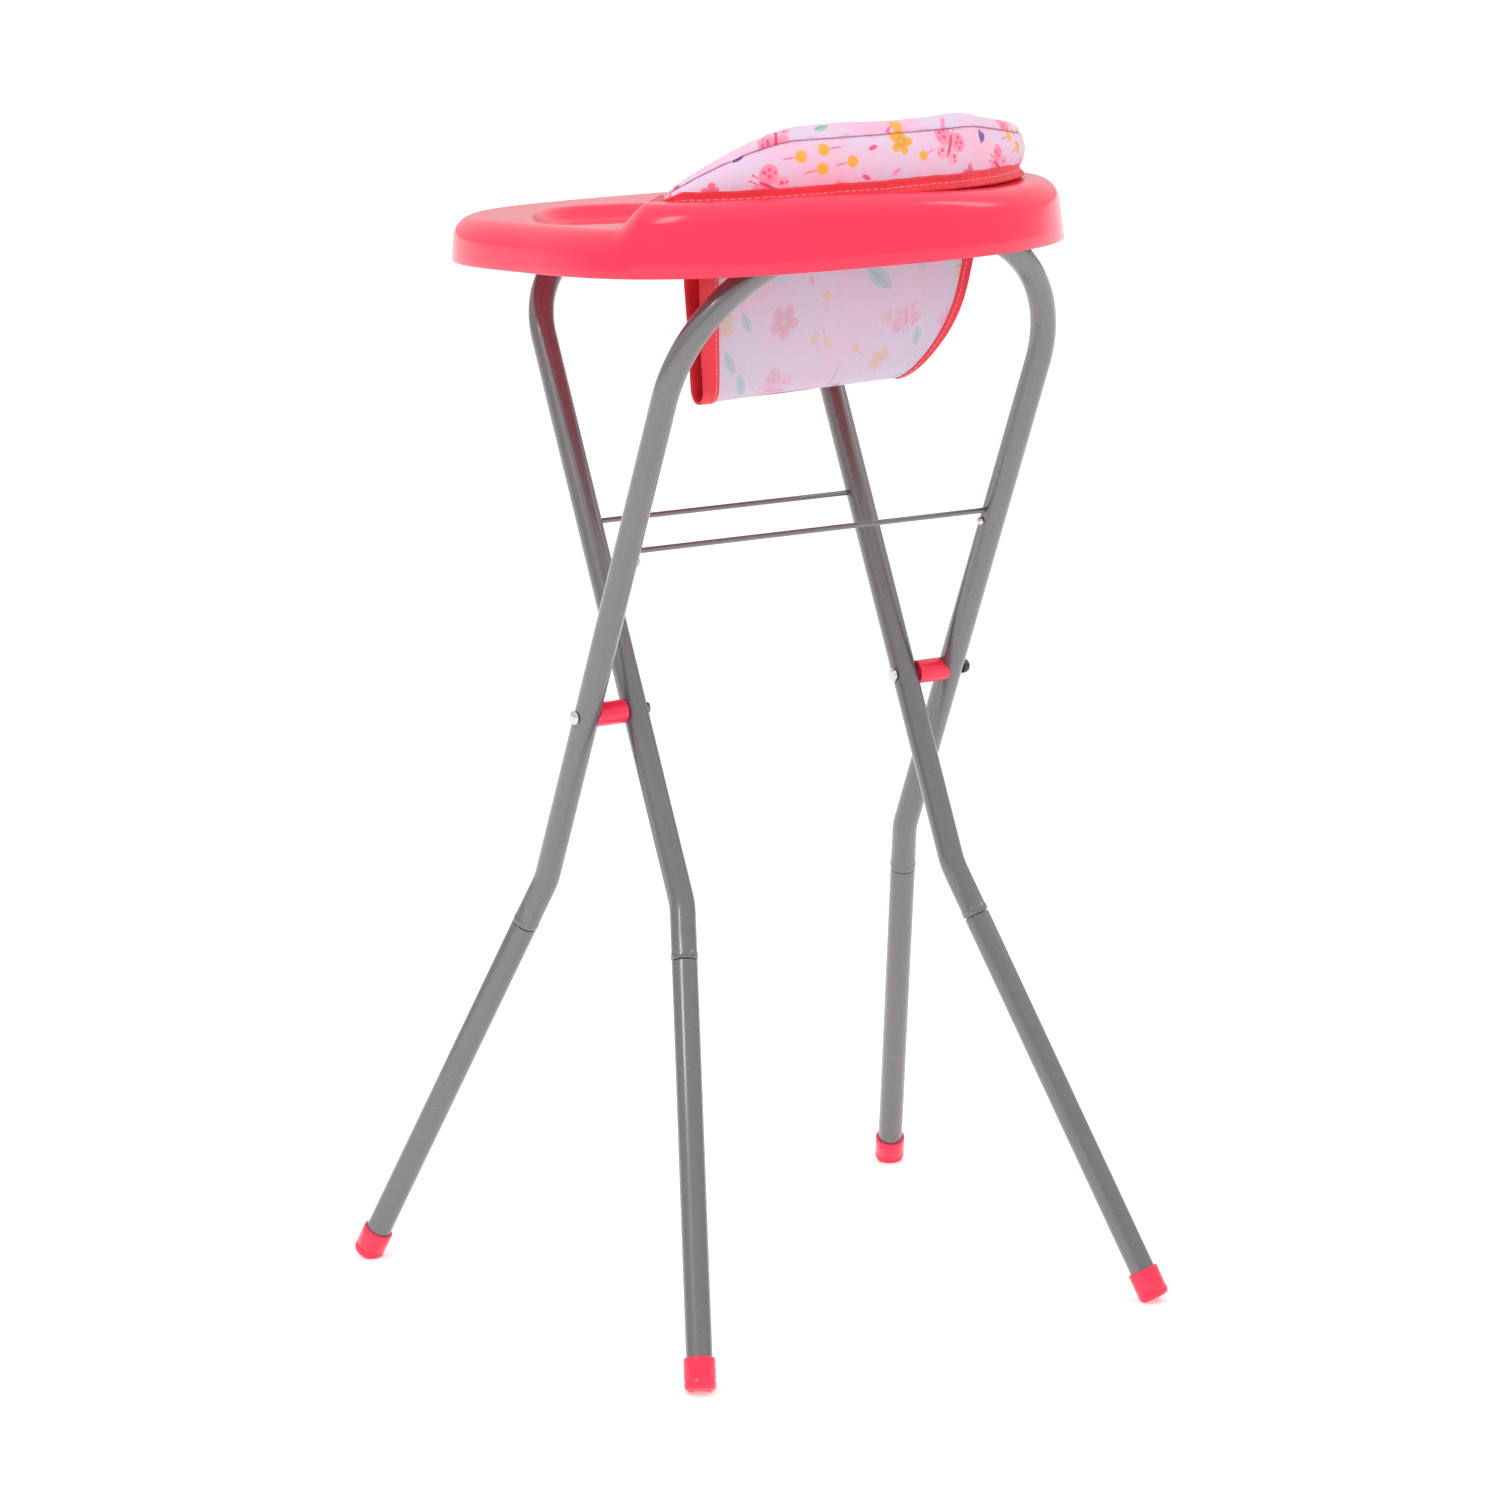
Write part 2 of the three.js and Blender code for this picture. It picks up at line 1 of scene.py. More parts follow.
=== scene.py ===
"""A doll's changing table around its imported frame: crossed steel tubes, a moulded tray, a padded mat and a
hanging cloth sling. Shapes are written in millimetres in their own local frames and placed in metres."""
import math

import bmesh
import bpy
from mathutils import Matrix, Vector, noise


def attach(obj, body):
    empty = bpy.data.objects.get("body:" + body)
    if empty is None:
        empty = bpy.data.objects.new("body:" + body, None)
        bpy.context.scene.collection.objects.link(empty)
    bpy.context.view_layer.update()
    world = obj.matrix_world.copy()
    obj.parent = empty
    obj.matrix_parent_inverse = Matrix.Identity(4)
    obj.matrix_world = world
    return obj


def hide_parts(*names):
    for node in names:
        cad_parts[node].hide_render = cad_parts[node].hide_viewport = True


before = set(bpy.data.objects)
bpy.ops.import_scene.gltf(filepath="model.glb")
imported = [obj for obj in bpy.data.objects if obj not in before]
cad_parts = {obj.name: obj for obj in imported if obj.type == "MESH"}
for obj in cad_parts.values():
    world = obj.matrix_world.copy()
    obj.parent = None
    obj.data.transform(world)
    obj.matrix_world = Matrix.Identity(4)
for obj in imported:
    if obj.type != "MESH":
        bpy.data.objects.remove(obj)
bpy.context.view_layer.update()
MM = 0.001

# ---- driving dimensions in millimetres; angles are radians ----
# The frames, tray outline, basin, ribs and clips repeat the CAD's values. The look differs from the CAD in
# these: the rim's fall, the mat's side height with its rises and shares, and the sling's narrowing and hems.
TUBE_R = 8.0
TUBE_BORE_R = 6.8
TILT = math.radians(25.6)
PIVOT_Z = 375.7
KNEE_DROP, KNEE_R, SPLAY, LEG_REACH, SEAM = 124.0, 45.0, 66.0, 411.0, 30.0
OUTER = {"half": 132.0, "bend": 104.0, "top": 332.0}
INNER = {"half": 98.0, "bend": 62.0, "top": 303.0}
CAP = {"radius": 9.6, "sleeve": 16.0, "end": 3.4}
TRAY_Z, TRAY_TILT = 650.0, math.radians(3)
TRAY = {"left": 177.0, "right": 182.0, "depth": 166.0, "x": 2.0}
LEFT_POWER, RIGHT_POWER = 3.2, 2.1
LOW_RIM, HIGH_RIM, RIM_FALL, RIM_ROUND, WALL, DRAFT = 28.0, 43.0, 5.5, 13.0, 2.4, 0.022
MAT_FLOOR, BASIN_FLOOR = 38.0, 19.0
RECESS_INSET, RECESS_FROM_STEP = 22.0, 18.0
BASIN = {"x": -98.0, "y": 26.0, "half_x": 42.0, "half_y": 80.0, "turn": math.radians(-30), "power": 2.78}
STEP_FRONT, STEP_BACK, RAMP = Vector((-162, -96)), Vector((44, 168)), 15.0
CLIP = {"x": 16.0, "width": 16.0, "crown": 3.0, "cheek": 4.0}
MAT = {"inset": 26.0, "from_step": 24.0, "base": 38.4, "side": 43.0, "middle": 12.0}
SIDE_RISE, SIDE_BACK, SIDE_RIGHT = (24.0, 104.0), (-40.0, 110.0), (60.0, 150.0)
LEFT_SHARE, BACK_SHARE, RIGHT_SHARE = 0.14, 0.42, 0.7
RISE_POWER = 1.45                   # the mat's side rises quickly past the step, then levels off
RIGHT_BULGE = 6.5                   # how far the mat's right end leans out over its foot
SLING = {"x": -14.0, "front": -112.0, "back": -92.0, "top": 31.0, "drop": 113.0, "half": 97.0}
SLING_LEAN, SLING_HEMS = 36.0, {"left": 12.5, "right": 6.5}
LEAN_EARLY, LEAN_LATE = 0.45, 0.55  # shares of the lean that grow with the drop, and with its square
SLING_NIP = 0.35                    # how much closer its two panels are at the fold, as a share
LEFT_IN, LEFT_IN_POWER, LEFT_OUT = 21.0, 1.6, 2.0
RIGHT_IN, RIGHT_IN_POWER = 31.0, 4
FOLD_LIFT = 1.8                     # rise of the fold's middle: none at its left end, double at its right
SLING_BELLY = 1.6
RIB = {"thick": 2.4, "deep": 14.0, "half": 88.0, "off": 1.8}

TRAY_PLACE = Matrix.Translation((0, 0, TRAY_Z * MM)) @ Matrix.Rotation(-TRAY_TILT, 4, "X")
SCALE = Matrix.Scale(MM, 4)


def smoothstep(low, high, value):
    share = min(1.0, max(0.0, (value - low) / (high - low)))
    return share * share * (3 - 2 * share)


def mix(a, b, share):
    return a + (b - a) * share


# ---- camera, floor and light ----
def place_camera():
    data = bpy.data.cameras.new("camera")
    data.sensor_width = 36
    data.lens = 139.477
    data.clip_end = 50
    yaw, pitch, roll = 0.546213, -0.210828, -0.012212
    forward = Vector((math.sin(yaw) * math.cos(pitch), math.cos(yaw) * math.cos(pitch), math.sin(pitch)))
    level = Vector((math.cos(yaw), -math.sin(yaw), 0))
    upright = level.cross(forward)
    right = level * math.cos(roll) + upright * math.sin(roll)
    up = upright * math.cos(roll) - level * math.sin(roll)
    camera = bpy.data.objects.new("camera", data)
    camera.matrix_world = Matrix((right, up, -forward)).transposed().to_4x4()
    camera.location = (-1.842886, -3.004871, 1.093077)
    bpy.context.scene.collection.objects.link(camera)
    bpy.context.scene.camera = camera


def softbox(name, place, aim, size, power):
    data = bpy.data.lights.new(name, "AREA")
    data.shape = "RECTANGLE"
    data.size, data.size_y = size
    data.energy = power
    light = bpy.data.objects.new(name, data)
    light.location = place
    light.rotation_euler = (Vector(aim) - Vector(place)).to_track_quat("-Z", "Y").to_euler()
    bpy.context.scene.collection.objects.link(light)


def place_stage():
    bpy.context.scene.view_settings.view_transform = "Standard"
    world = bpy.data.worlds.new("studio")
    bpy.context.scene.world = world
    world.use_nodes = True
    studio_sky(world.node_tree)
    middle = (0, 0, 0.5)
    softbox("key", (-2.0, -0.6, 2.6), middle, (0.5, 1.6), 17)
    softbox("fill", (2.3, -0.8, 2.4), middle, (0.4, 1.4), 8)

    reach = 40.0
    mesh = bpy.data.meshes.new("floor")
    mesh.from_pydata([(-reach, -reach, 0), (reach, -reach, 0), (reach, reach, 0), (-reach, reach, 0)],
                     [], [(0, 1, 2, 3)])
    floor = bpy.data.objects.new("floor", mesh)
    floor.data.materials.append(plain_floor())
    bpy.context.scene.collection.objects.link(floor)


def studio_sky(tree):
    """A white room: bright overhead, dimmer towards the horizon, so that glossy tubes show a shape."""
    where = tree.nodes.new("ShaderNodeTexCoord").outputs["Generated"]
    split = tree.nodes.new("ShaderNodeSeparateXYZ")
    tree.links.new(where, split.inputs[0])
    ramp = tree.nodes.new("ShaderNodeValToRGB")
    tree.links.new(split.outputs[2], ramp.inputs[0])
    stops = ((0.0, 0.45), (0.06, 0.72), (0.4, 0.9), (1.0, 1.08))
    while len(ramp.color_ramp.elements) < len(stops):
        ramp.color_ramp.elements.new(0.5)
    for element, (height, light) in zip(ramp.color_ramp.elements, stops):
        element.position = height
        element.color = (light, light, light, 1)
    tree.links.new(ramp.outputs[0], tree.nodes["Background"].inputs["Color"])


# ---- node arithmetic ----
class Graph:
    """Shader arithmetic in short calls: each adds one node to a material and returns its output."""

    def __init__(self, name):
        self.material = bpy.data.materials.new(name)
        self.material.use_nodes = True
        self.tree = self.material.node_tree
        self.shader = self.tree.nodes["Principled BSDF"]

    def add(self, kind, **settings):
        node = self.tree.nodes.new(kind)
        for key, value in settings.items():
            setattr(node, key, value)
        return node

    def feed(self, socket, value):
        if isinstance(value, bpy.types.NodeSocket):
            self.tree.links.new(value, socket)
        elif isinstance(value, (tuple, list)) and len(value) == 3 and len(socket.default_value) == 4:
            socket.default_value = (*value, 1)
        else:
            socket.default_value = value

    def math(self, operation, *values):
        node = self.add("ShaderNodeMath", operation=operation)
        for socket, value in zip(node.inputs, values):
            self.feed(socket, value)
        return node.outputs[0]

    def vector(self, operation, *values, out=0):
        node = self.add("ShaderNodeVectorMath", operation=operation)
        for socket, value in zip(node.inputs, values):
            self.feed(socket, value)
        return node.outputs[out]

    def blend(self, share, a, b, kind="MIX"):
        node = self.add("ShaderNodeMix", data_type="RGBA", blend_type=kind)
        self.feed(node.inputs[0], share)
        self.feed(node.inputs[6], a)
        self.feed(node.inputs[7], b)
        return node.outputs[2]

    def ramp(self, value, low, high, to_low=0.0, to_high=1.0):
        node = self.add("ShaderNodeMapRange")
        for socket, given in zip(node.inputs, (value, low, high, to_low, to_high)):
            self.feed(socket, given)
        return node.outputs[0]

    def place(self):
        """Where a point is on the piece, in metres."""
        return self.add("ShaderNodeTexCoord").outputs["Object"]

    def noise(self, scale, detail=2.0, where=None, roughness=0.5):
        node = self.add("ShaderNodeTexNoise")
        self.feed(node.inputs["Vector"], where or self.place())
        self.feed(node.inputs["Scale"], scale)
        self.feed(node.inputs["Detail"], detail)
        self.feed(node.inputs["Roughness"], roughness)
        return node.outputs["Fac"]

    def bump(self, height, distance, strength=1.0, under=None):
        node = self.add("ShaderNodeBump")
        self.feed(node.inputs["Height"], height)
        self.feed(node.inputs["Distance"], distance)
        self.feed(node.inputs["Strength"], strength)
        if under is not None:
            self.feed(node.inputs["Normal"], under)
        return node.outputs[0]

    def finish(self, **inputs):
        for key, value in inputs.items():
            self.feed(self.shader.inputs[key.replace("_", " ")], value)
        return self.material


def linear(r, g, b):
    """A colour given as 0 to 255, made linear."""
    def one(value):
        share = value / 255
        return share / 12.92 if share <= 0.04045 else ((share + 0.055) / 1.055) ** 2.4
    return (one(r), one(g), one(b))


def plain_floor():
    g = Graph("floor_paint")
    tone = g.noise(3.0)
    colour = g.blend(tone, (0.93, 0.93, 0.93), (0.96, 0.96, 0.96))
    return g.finish(Base_Color=colour, Roughness=0.9, Emission_Color=(1, 1, 1), Emission_Strength=0.3)


def painted_tube():
    g = Graph("grey_powder_coat")
    flake = g.noise(1400.0, 1.0)
    mottle = g.noise(45.0, 3.0)
    grey = g.blend(g.ramp(flake, 0.35, 0.65), linear(112, 110, 111), linear(124, 122, 123))
    grey = g.blend(g.ramp(mottle, 0.3, 0.7, 0.0, 0.35), grey, linear(114, 113, 116))
    peel = g.bump(g.noise(160.0, 1.0), 0.00002, 0.15)
    rough = g.ramp(mottle, 0.25, 0.75, 0.24, 0.32)
    return g.finish(Base_Color=grey, Metallic=0.6, Roughness=rough, Normal=peel,
                    Coat_Weight=0.6, Coat_Roughness=0.08)


def pink_plastic():
    g = Graph("coral_plastic")
    cloud = g.noise(18.0, 3.0)
    base = linear(255, 46, 84)
    darker = tuple(c * 0.9 for c in base)
    colour = g.blend(g.ramp(cloud, 0.3, 0.7), darker, base)
    scuff = g.noise(140.0, 4.0, roughness=0.7)
    rough = g.ramp(scuff, 0.35, 0.75, 0.17, 0.22)
    flow = g.bump(g.noise(24.0, 1.0), 0.0004, 0.15)
    grain = g.bump(g.noise(260.0, 1.0), 0.00001, 0.1, under=flow)
    return g.finish(Base_Color=colour, Roughness=rough, Normal=grain, IOR=1.49,
                    Subsurface_Weight=0.08, Subsurface_Radius=(0.004, 0.0012, 0.0012),
                    Coat_Weight=0.05, Coat_Roughness=0.1)


def metal(name, tone, roughness):
    g = Graph(name)
    scratch = g.noise(700.0, 4.0, roughness=0.7)
    colour = g.blend(g.ramp(scratch, 0.3, 0.7), tuple(c * 0.82 for c in tone), tone)
    rough = g.ramp(scratch, 0.3, 0.7, roughness * 0.8, roughness * 1.3)
    return g.finish(Base_Color=colour, Metallic=1.0, Roughness=rough, Normal=g.bump(scratch, 0.00003))


# ---- the print ----
LILAC = linear(230, 208, 232)
PINK_CLOUD = linear(252, 190, 214)
ROSE = linear(250, 90, 130)
PALE_ROSE = linear(252, 150, 185)
AMBER = linear(252, 178, 70)
TEAL = linear(120, 196, 200)
PLUM = linear(128, 84, 160)
INK = linear(70, 62, 110)


class Print:
    """Draws motifs on flat cloth that repeats every tile, measured in millimetres of cloth."""

    def __init__(self, graph, tile, shift):
        self.g = graph
        uv = graph.add("ShaderNodeUVMap", uv_map="cloth").outputs[0]
        self.cloth = uv
        in_millimetres = graph.add("ShaderNodeVectorMath", operation="SCALE")
        graph.feed(in_millimetres.inputs[0], uv)
        graph.feed(in_millimetres.inputs["Scale"], 1000)
        at = graph.vector("ADD", in_millimetres.outputs[0], (*shift, 0))
        self.wrapped = graph.vector("WRAP", at, (*tile, 1), (0, 0, -1))

    def local(self, centre, turn, size):
        """The place on the cloth as seen from a motif, over its size, split into across and along."""
        g = self.g
        moved = g.vector("SUBTRACT", self.wrapped, (*centre, 0))
        c, s = math.cos(turn) / size, math.sin(turn) / size
        across = g.vector("DOT_PRODUCT", moved, (c, s, 0), out=1)
        along = g.vector("DOT_PRODUCT", moved, (-s, c, 0), out=1)
        return across, along

    def oval(self, across, along, x, y, a, b, soft=0.06):
        """1 inside an ellipse with half axes a and b at x, y."""
        g = self.g
        u = g.math("DIVIDE", g.math("SUBTRACT", across, x), a)
        v = g.math("DIVIDE", g.math("SUBTRACT", along, y), b)
        return g.ramp(self.length(u, v), 1 + soft, 1 - soft)

    def length(self, u, v):
        g = self.g
        return g.math("SQRT", g.math("ADD", g.math("MULTIPLY", u, u), g.math("MULTIPLY", v, v)))

    def paint(self, colour, mask, tone, strength=1.0):
        share = mask if strength == 1 else self.g.math("MULTIPLY", mask, strength)
        return self.g.blend(share, colour, tone)

    def dot(self, colour, centre, turn=0.0, size=3.6):
        across, along = self.local(centre, turn, size)
        colour = self.paint(colour, self.oval(across, along, 2.1, 0, 1.3, 0.13, 0.2), ROSE, 0.8)
        return self.paint(colour, self.oval(across, along, 0, 0, 1, 1), AMBER)

    def leaf(self, colour, centre, turn=0.0, size=6.0, tone=TEAL):
        g = self.g
        across, along = self.local(centre, turn, size)
        bulge = g.math("SUBTRACT", 0.42, g.math("MULTIPLY", 0.42, g.math("MULTIPLY", across, across)))
        inside = g.ramp(g.math("SUBTRACT", bulge, g.math("ABSOLUTE", along)), 0.0, 0.06)
        colour = self.paint(colour, inside, tone)
        vein = g.math("MULTIPLY", inside, self.oval(across, along, 0, 0, 0.8, 0.05, 0.4))
        return self.paint(colour, vein, tuple(0.55 * c for c in tone))

    def drop(self, colour, centre, turn=0.0, size=3.2, tone=PALE_ROSE):
        across, along = self.local(centre, turn, size)
        return self.paint(colour, self.oval(across, along, 0, 0, 1, 0.42, 0.1), tone)

    def flower(self, colour, centre, turn=0.0, size=7.0, tone=PALE_ROSE):
        g = self.g
        across, along = self.local(centre, turn, size)
        angle = g.math("ARCTAN2", along, across)
        petal = g.math("ABSOLUTE", g.math("COSINE", g.math("MULTIPLY", angle, 2.5)))
        edge = g.math("ADD", 0.45, g.math("MULTIPLY", 0.55, g.math("SQRT", petal)))
        reach = self.length(across, along)
        inside = g.ramp(g.math("SUBTRACT", edge, reach), 0.0, 0.08)
        colour = self.paint(colour, inside, tone)
        shade = g.math("MULTIPLY", inside, g.ramp(reach, 0.65, 0.2))
        colour = self.paint(colour, shade, tuple(0.7 * c for c in tone), 0.7)
        return self.paint(colour, self.oval(across, along, 0, 0, 0.2, 0.2, 0.2), AMBER)

    def heart(self, colour, centre, turn=0.0, size=3.6, tone=PLUM):
        g = self.g
        across, along = self.local(centre, turn, size)
        side = g.math("ABSOLUTE", across)
        lifted = g.math("SUBTRACT", along, g.math("MULTIPLY", 0.75, g.math("SQRT", side)))
        return self.paint(colour, g.ramp(self.length(side, lifted), 1.06, 0.94), tone)

    def butterfly(self, colour, centre, turn=0.0, size=16.0):
        """Body along the motif's own Y, four rounded wings with darker spots and two feelers."""
        g = self.g
        across, along = self.local(centre, turn, size)
        side = g.math("ABSOLUTE", across)
        upper = self.oval(side, along, 0.5, 0.36, 0.5, 0.46)
        lower = self.oval(side, along, 0.38, -0.42, 0.38, 0.36)
        colour = self.paint(colour, upper, linear(253, 150, 180))
        colour = self.paint(colour, lower, linear(254, 176, 200))
        for x, y, r in ((0.5, 0.6, 0.1), (0.72, 0.42, 0.09), (0.44, 0.3, 0.11), (0.7, 0.14, 0.07),
                        (0.42, -0.36, 0.1), (0.56, -0.56, 0.07)):
            colour = self.paint(colour, self.oval(side, along, x, y, r, r, 0.12), ROSE)
        colour = self.paint(colour, self.oval(across, along, 0, 0.05, 0.09, 0.62, 0.15), linear(240, 70, 110))
        feeler = self.oval(side, along, 0.14, 0.82, 0.03, 0.2, 0.4)
        colour = self.paint(colour, feeler, ROSE)
        return self.paint(colour, self.oval(side, along, 0.15, 1.02, 0.06, 0.06, 0.2), ROSE)

    def bee(self, colour, centre, turn=0.0, size=6.5):
        across, along = self.local(centre, turn, size)
        side = self.g.math("ABSOLUTE", along)
        wing = self.oval(across, side, 0.12, 0.62, 0.42, 0.5)
        colour = self.paint(colour, wing, linear(170, 222, 228))
        colour = self.paint(colour, self.oval(across, along, 0, 0, 0.85, 0.42), linear(245, 205, 110))
        for x in (-0.25, 0.2):
            colour = self.paint(colour, self.oval(across, along, x, 0, 0.08, 0.38, 0.2), PLUM)
        return self.paint(colour, self.oval(across, along, -0.72, 0.12, 0.07, 0.07, 0.2), INK)

    def sprig(self, colour, centre, turn=0.0, size=16.0):
        """Two hearts on a forked stalk."""
        across, along = self.local(centre, turn, size)
        stalk = self.oval(across, along, 0, -0.2, 0.035, 0.6, 0.3)
        colour = self.paint(colour, stalk, PLUM)
        arm = self.oval(across, along, 0.28, 0.02, 0.3, 0.03, 0.3)
        colour = self.paint(colour, arm, PLUM)
        c, s = math.cos(turn), math.sin(turn)
        for x, y in ((0.0, 0.5), (0.68, 0.1)):
            tip = (centre[0] + size * (x * c - y * s), centre[1] + size * (x * s + y * c))
            colour = self.heart(colour, tip, turn, size * 0.28, PLUM)
        return colour

    def draw(self, ground, motifs):
        """One tile's motifs: (method, centre, turn in degrees, options)."""
        colour = ground
        for method, centre, turn, options in motifs:
            colour = getattr(self, method)(colour, centre, math.radians(turn), **options)
        return colour


TILE = (176.0, 96.0)
MOTIFS = (
    ("butterfly", (30, 22), 62, {"size": 12.5}),
    ("dot", (49, 39), 185, {}),
    ("dot", (64, 42), 5, {}),
    ("dot", (62, 31), 190, {}),
    ("dot", (82, 34), 188, {}),
    ("flower", (72, 17), 12, {}),
    ("drop", (97, 41), 15, {"tone": ROSE}),
    ("drop", (91, 24), -25, {"tone": ROSE}),
    ("flower", (117, 43), 0, {"size": 8.0, "tone": AMBER}),
    ("dot", (132, 34), 20, {"size": 3.0}),
    ("drop", (112, 26), 30, {}),
    ("butterfly", (154, 38), -24, {"size": 12.5}),
    ("drop", (146, 18), 80, {"tone": ROSE}),
    ("leaf", (128, 16), 35, {"size": 5.0}),
    ("heart", (10, 40), -30, {}),
    ("flower", (172, 20), 20, {"tone": linear(250, 120, 150)}),
    ("flower", (40, 66), 40, {"tone": AMBER}),
    ("heart", (14, 64), -25, {"tone": ROSE}),
    ("bee", (76, 62), 160, {}),
    ("dot", (94, 70), 30, {}),
    ("dot", (102, 82), 200, {}),
    ("leaf", (52, 84), 10, {"tone": linear(150, 205, 180)}),
    ("flower", (126, 66), 0, {"tone": ROSE, "size": 6.5}),
    ("butterfly", (22, 86), 150, {"size": 11.0}),
    ("heart", (148, 60), 10, {"size": 3.0}),
    ("drop", (138, 86), 45, {}),
    ("dot", (166, 66), 120, {"size": 3.0}),
    ("leaf", (162, 84), -50, {"tone": linear(236, 140, 90)}),
)


SLING_TILE = (216.0, 118.0)
SLING_MOTIFS = (
    ("flower", (74, 48), 10, {"size": 11.5, "tone": linear(246, 110, 150)}),
    ("butterfly", (76, 92), 96, {"size": 15.0}),
    ("bee", (70, 14), 170, {"size": 9.5}),
    ("leaf", (46, 46), 65, {"size": 8.0}),
    ("leaf", (34, 70), 60, {"size": 9.0}),
    ("leaf", (44, 86), 75, {"size": 9.0}),
    ("flower", (28, 46), 40, {"size": 10.0, "tone": AMBER}),
    ("dot", (104, 34), 85, {"size": 3.2}),
    ("dot", (100, 60), 60, {"size": 3.2}),
    ("dot", (110, 64), 240, {"size": 3.2}),
    ("drop", (92, 24), 70, {"tone": ROSE}),
    ("drop", (102, 16), 110, {}),
    ("leaf", (140, 26), 35, {"size": 13.0}),
    ("drop", (126, 14), 50, {"tone": ROSE}),
    ("heart", (152, 50), 10, {"tone": linear(245, 170, 120)}),
    ("sprig", (124, 92), 10, {}),
    ("butterfly", (166, 52), -20, {"size": 11.0}),
    ("flower", (158, 78), 0, {"size": 8.0, "tone": AMBER}),
    ("flower", (170, 14), 20, {"size": 9.0, "tone": linear(150, 190, 215)}),
    ("leaf", (182, 66), 60, {"size": 8.0}),
    ("dot", (134, 70), 30, {"size": 3.0}),
    ("bee", (200, 22), 100, {"size": 10.0}),
    ("flower", (202, 56), 30, {"size": 10.0}),
    ("drop", (14, 92), 40, {"size": 4.5}),
    ("butterfly", (8, 24), 60, {"size": 13.0}),
    ("leaf", (190, 96), -40, {"size": 8.0}),
)


def weave(g, uv, size):
    """Height of a plain weave whose threads are size metres apart."""
    step = 2 * math.pi / size
    split = g.add("ShaderNodeSeparateXYZ")
    g.feed(split.inputs[0], uv)
    warp = g.math("SINE", g.math("MULTIPLY", split.outputs[0], step))
    weft = g.math("SINE", g.math("MULTIPLY", split.outputs[1], step))
    return g.math("MULTIPLY", warp, weft)


def printed_cloth(name, tile, motifs, shift, faded_and_shaded=0.0):
    g = Graph(name)
    cloth = Print(g, tile, shift)
    cloud = g.ramp(g.noise(16.0, 2.0, where=cloth.cloth), 0.38, 0.62)
    ground = g.blend(cloud, LILAC, PINK_CLOUD)
    colour = cloth.draw(ground, motifs)
    # greyer and darker toward a grey lilac: partly the faded reverse side of the print, partly painted shade
    # from the tray above
    if faded_and_shaded:
        colour = g.blend(faded_and_shaded, colour, linear(198, 184, 200))
    fibre = g.noise(900.0, 3.0)
    colour = g.blend(g.ramp(fibre, 0.3, 0.7, 0.0, 0.12), colour, (0.5, 0.42, 0.5), kind="MULTIPLY")
    threads = weave(g, cloth.cloth, 0.0007)
    crease = g.bump(g.noise(60.0, 3.0), 0.0012, 0.5)
    normal = g.bump(threads, 0.00006, 0.7, under=crease)
    rough = g.ramp(fibre, 0.3, 0.7, 0.62, 0.78)
    return g.finish(Base_Color=colour, Roughness=rough, Normal=normal, Sheen_Weight=0.25,
                    Sheen_Roughness=0.4, Specular_IOR_Level=0.35)


def red_binding():
    g = Graph("red_binding_tape")
    fibre = g.noise(800.0, 3.0)
    tone = g.noise(40.0, 2.0)
    red = g.blend(g.ramp(tone, 0.3, 0.7), linear(236, 26, 48), linear(255, 44, 66))
    red = g.blend(g.ramp(fibre, 0.35, 0.7, 0.0, 0.25), red, linear(170, 14, 30))
    uv = g.add("ShaderNodeUVMap", uv_map="cloth").outputs[0]
    crease = g.bump(g.noise(90.0, 3.0), 0.0012, 0.6)
    normal = g.bump(weave(g, uv, 0.0009), 0.00008, 0.8, under=crease)
    return g.finish(Base_Color=red, Roughness=0.6, Normal=normal, Sheen_Weight=0.2, Sheen_Roughness=0.4)


def pale_thread():
    g = Graph("pale_thread")
    ply = g.noise(2400.0, 1.0)
    colour = g.blend(ply, linear(255, 150, 165), linear(255, 205, 212))
    return g.finish(Base_Color=colour, Roughness=0.65, Normal=g.bump(ply, 0.00005))


# ---- pieces ----
def add_piece(name, mesh, material, body, replaced=(), sharp=40):
    """Puts a mesh into the scene: shaded smooth but for sharp edges, riding on its CAD body."""
    mesh.shade_smooth()
    mesh.set_sharp_from_angle(angle=math.radians(sharp))
    mesh.materials.clear()
    mesh.materials.append(material)
    obj = bpy.data.objects.new(name, mesh)
    bpy.context.scene.collection.objects.link(obj)
    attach(obj, body)
    if replaced:
        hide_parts(*replaced)
    return obj


def mesh_of(name, points, faces, place=None):
    """A mesh from millimetre points in a local frame."""
    mesh = bpy.data.meshes.new(name)
    mesh.from_pydata([tuple(p) for p in points], [], faces)
    mesh.transform((place or Matrix.Identity(4)) @ SCALE)
    mesh.update()
    return mesh


def ring_faces(rings, count, closed=True):
    """Quads between rings of count points each, in order."""
    faces = []
    for row in range(rings - 1):
        for i in range(count if closed else count - 1):
            j = (i + 1) % count
            a, b = row * count, (row + 1) * count
            faces.append((a + i, a + j, b + j, b + i))
    return faces


def refined(node, name, material, body, bevel=0.3, sharp=35):
    """A CAD node as it is, with its flat faces made whole and its edges softened."""
    work = bmesh.new()
    work.from_mesh(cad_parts[node].data)
    bmesh.ops.remove_doubles(work, verts=work.verts, dist=2e-6)
    bmesh.ops.dissolve_limit(work, angle_limit=math.radians(1.5), verts=work.verts, edges=work.edges)
    crisp = [e for e in work.edges if e.is_manifold and e.calc_face_angle(0) > math.radians(sharp)]
    bmesh.ops.bevel(work, geom=crisp, offset=bevel * MM, segments=2, profile=0.7, affect="EDGES",
                    clamp_overlap=True)
    mesh = bpy.data.meshes.new(name)
    work.to_mesh(mesh)
    work.free()
    return add_piece(name, mesh, material, body, (node,), sharp=55)


# ---- steel frames ----
def frame_place(lean):
    return Matrix.Translation((0, 0, PIVOT_Z * MM)) @ Matrix.Rotation(lean, 4, "X")


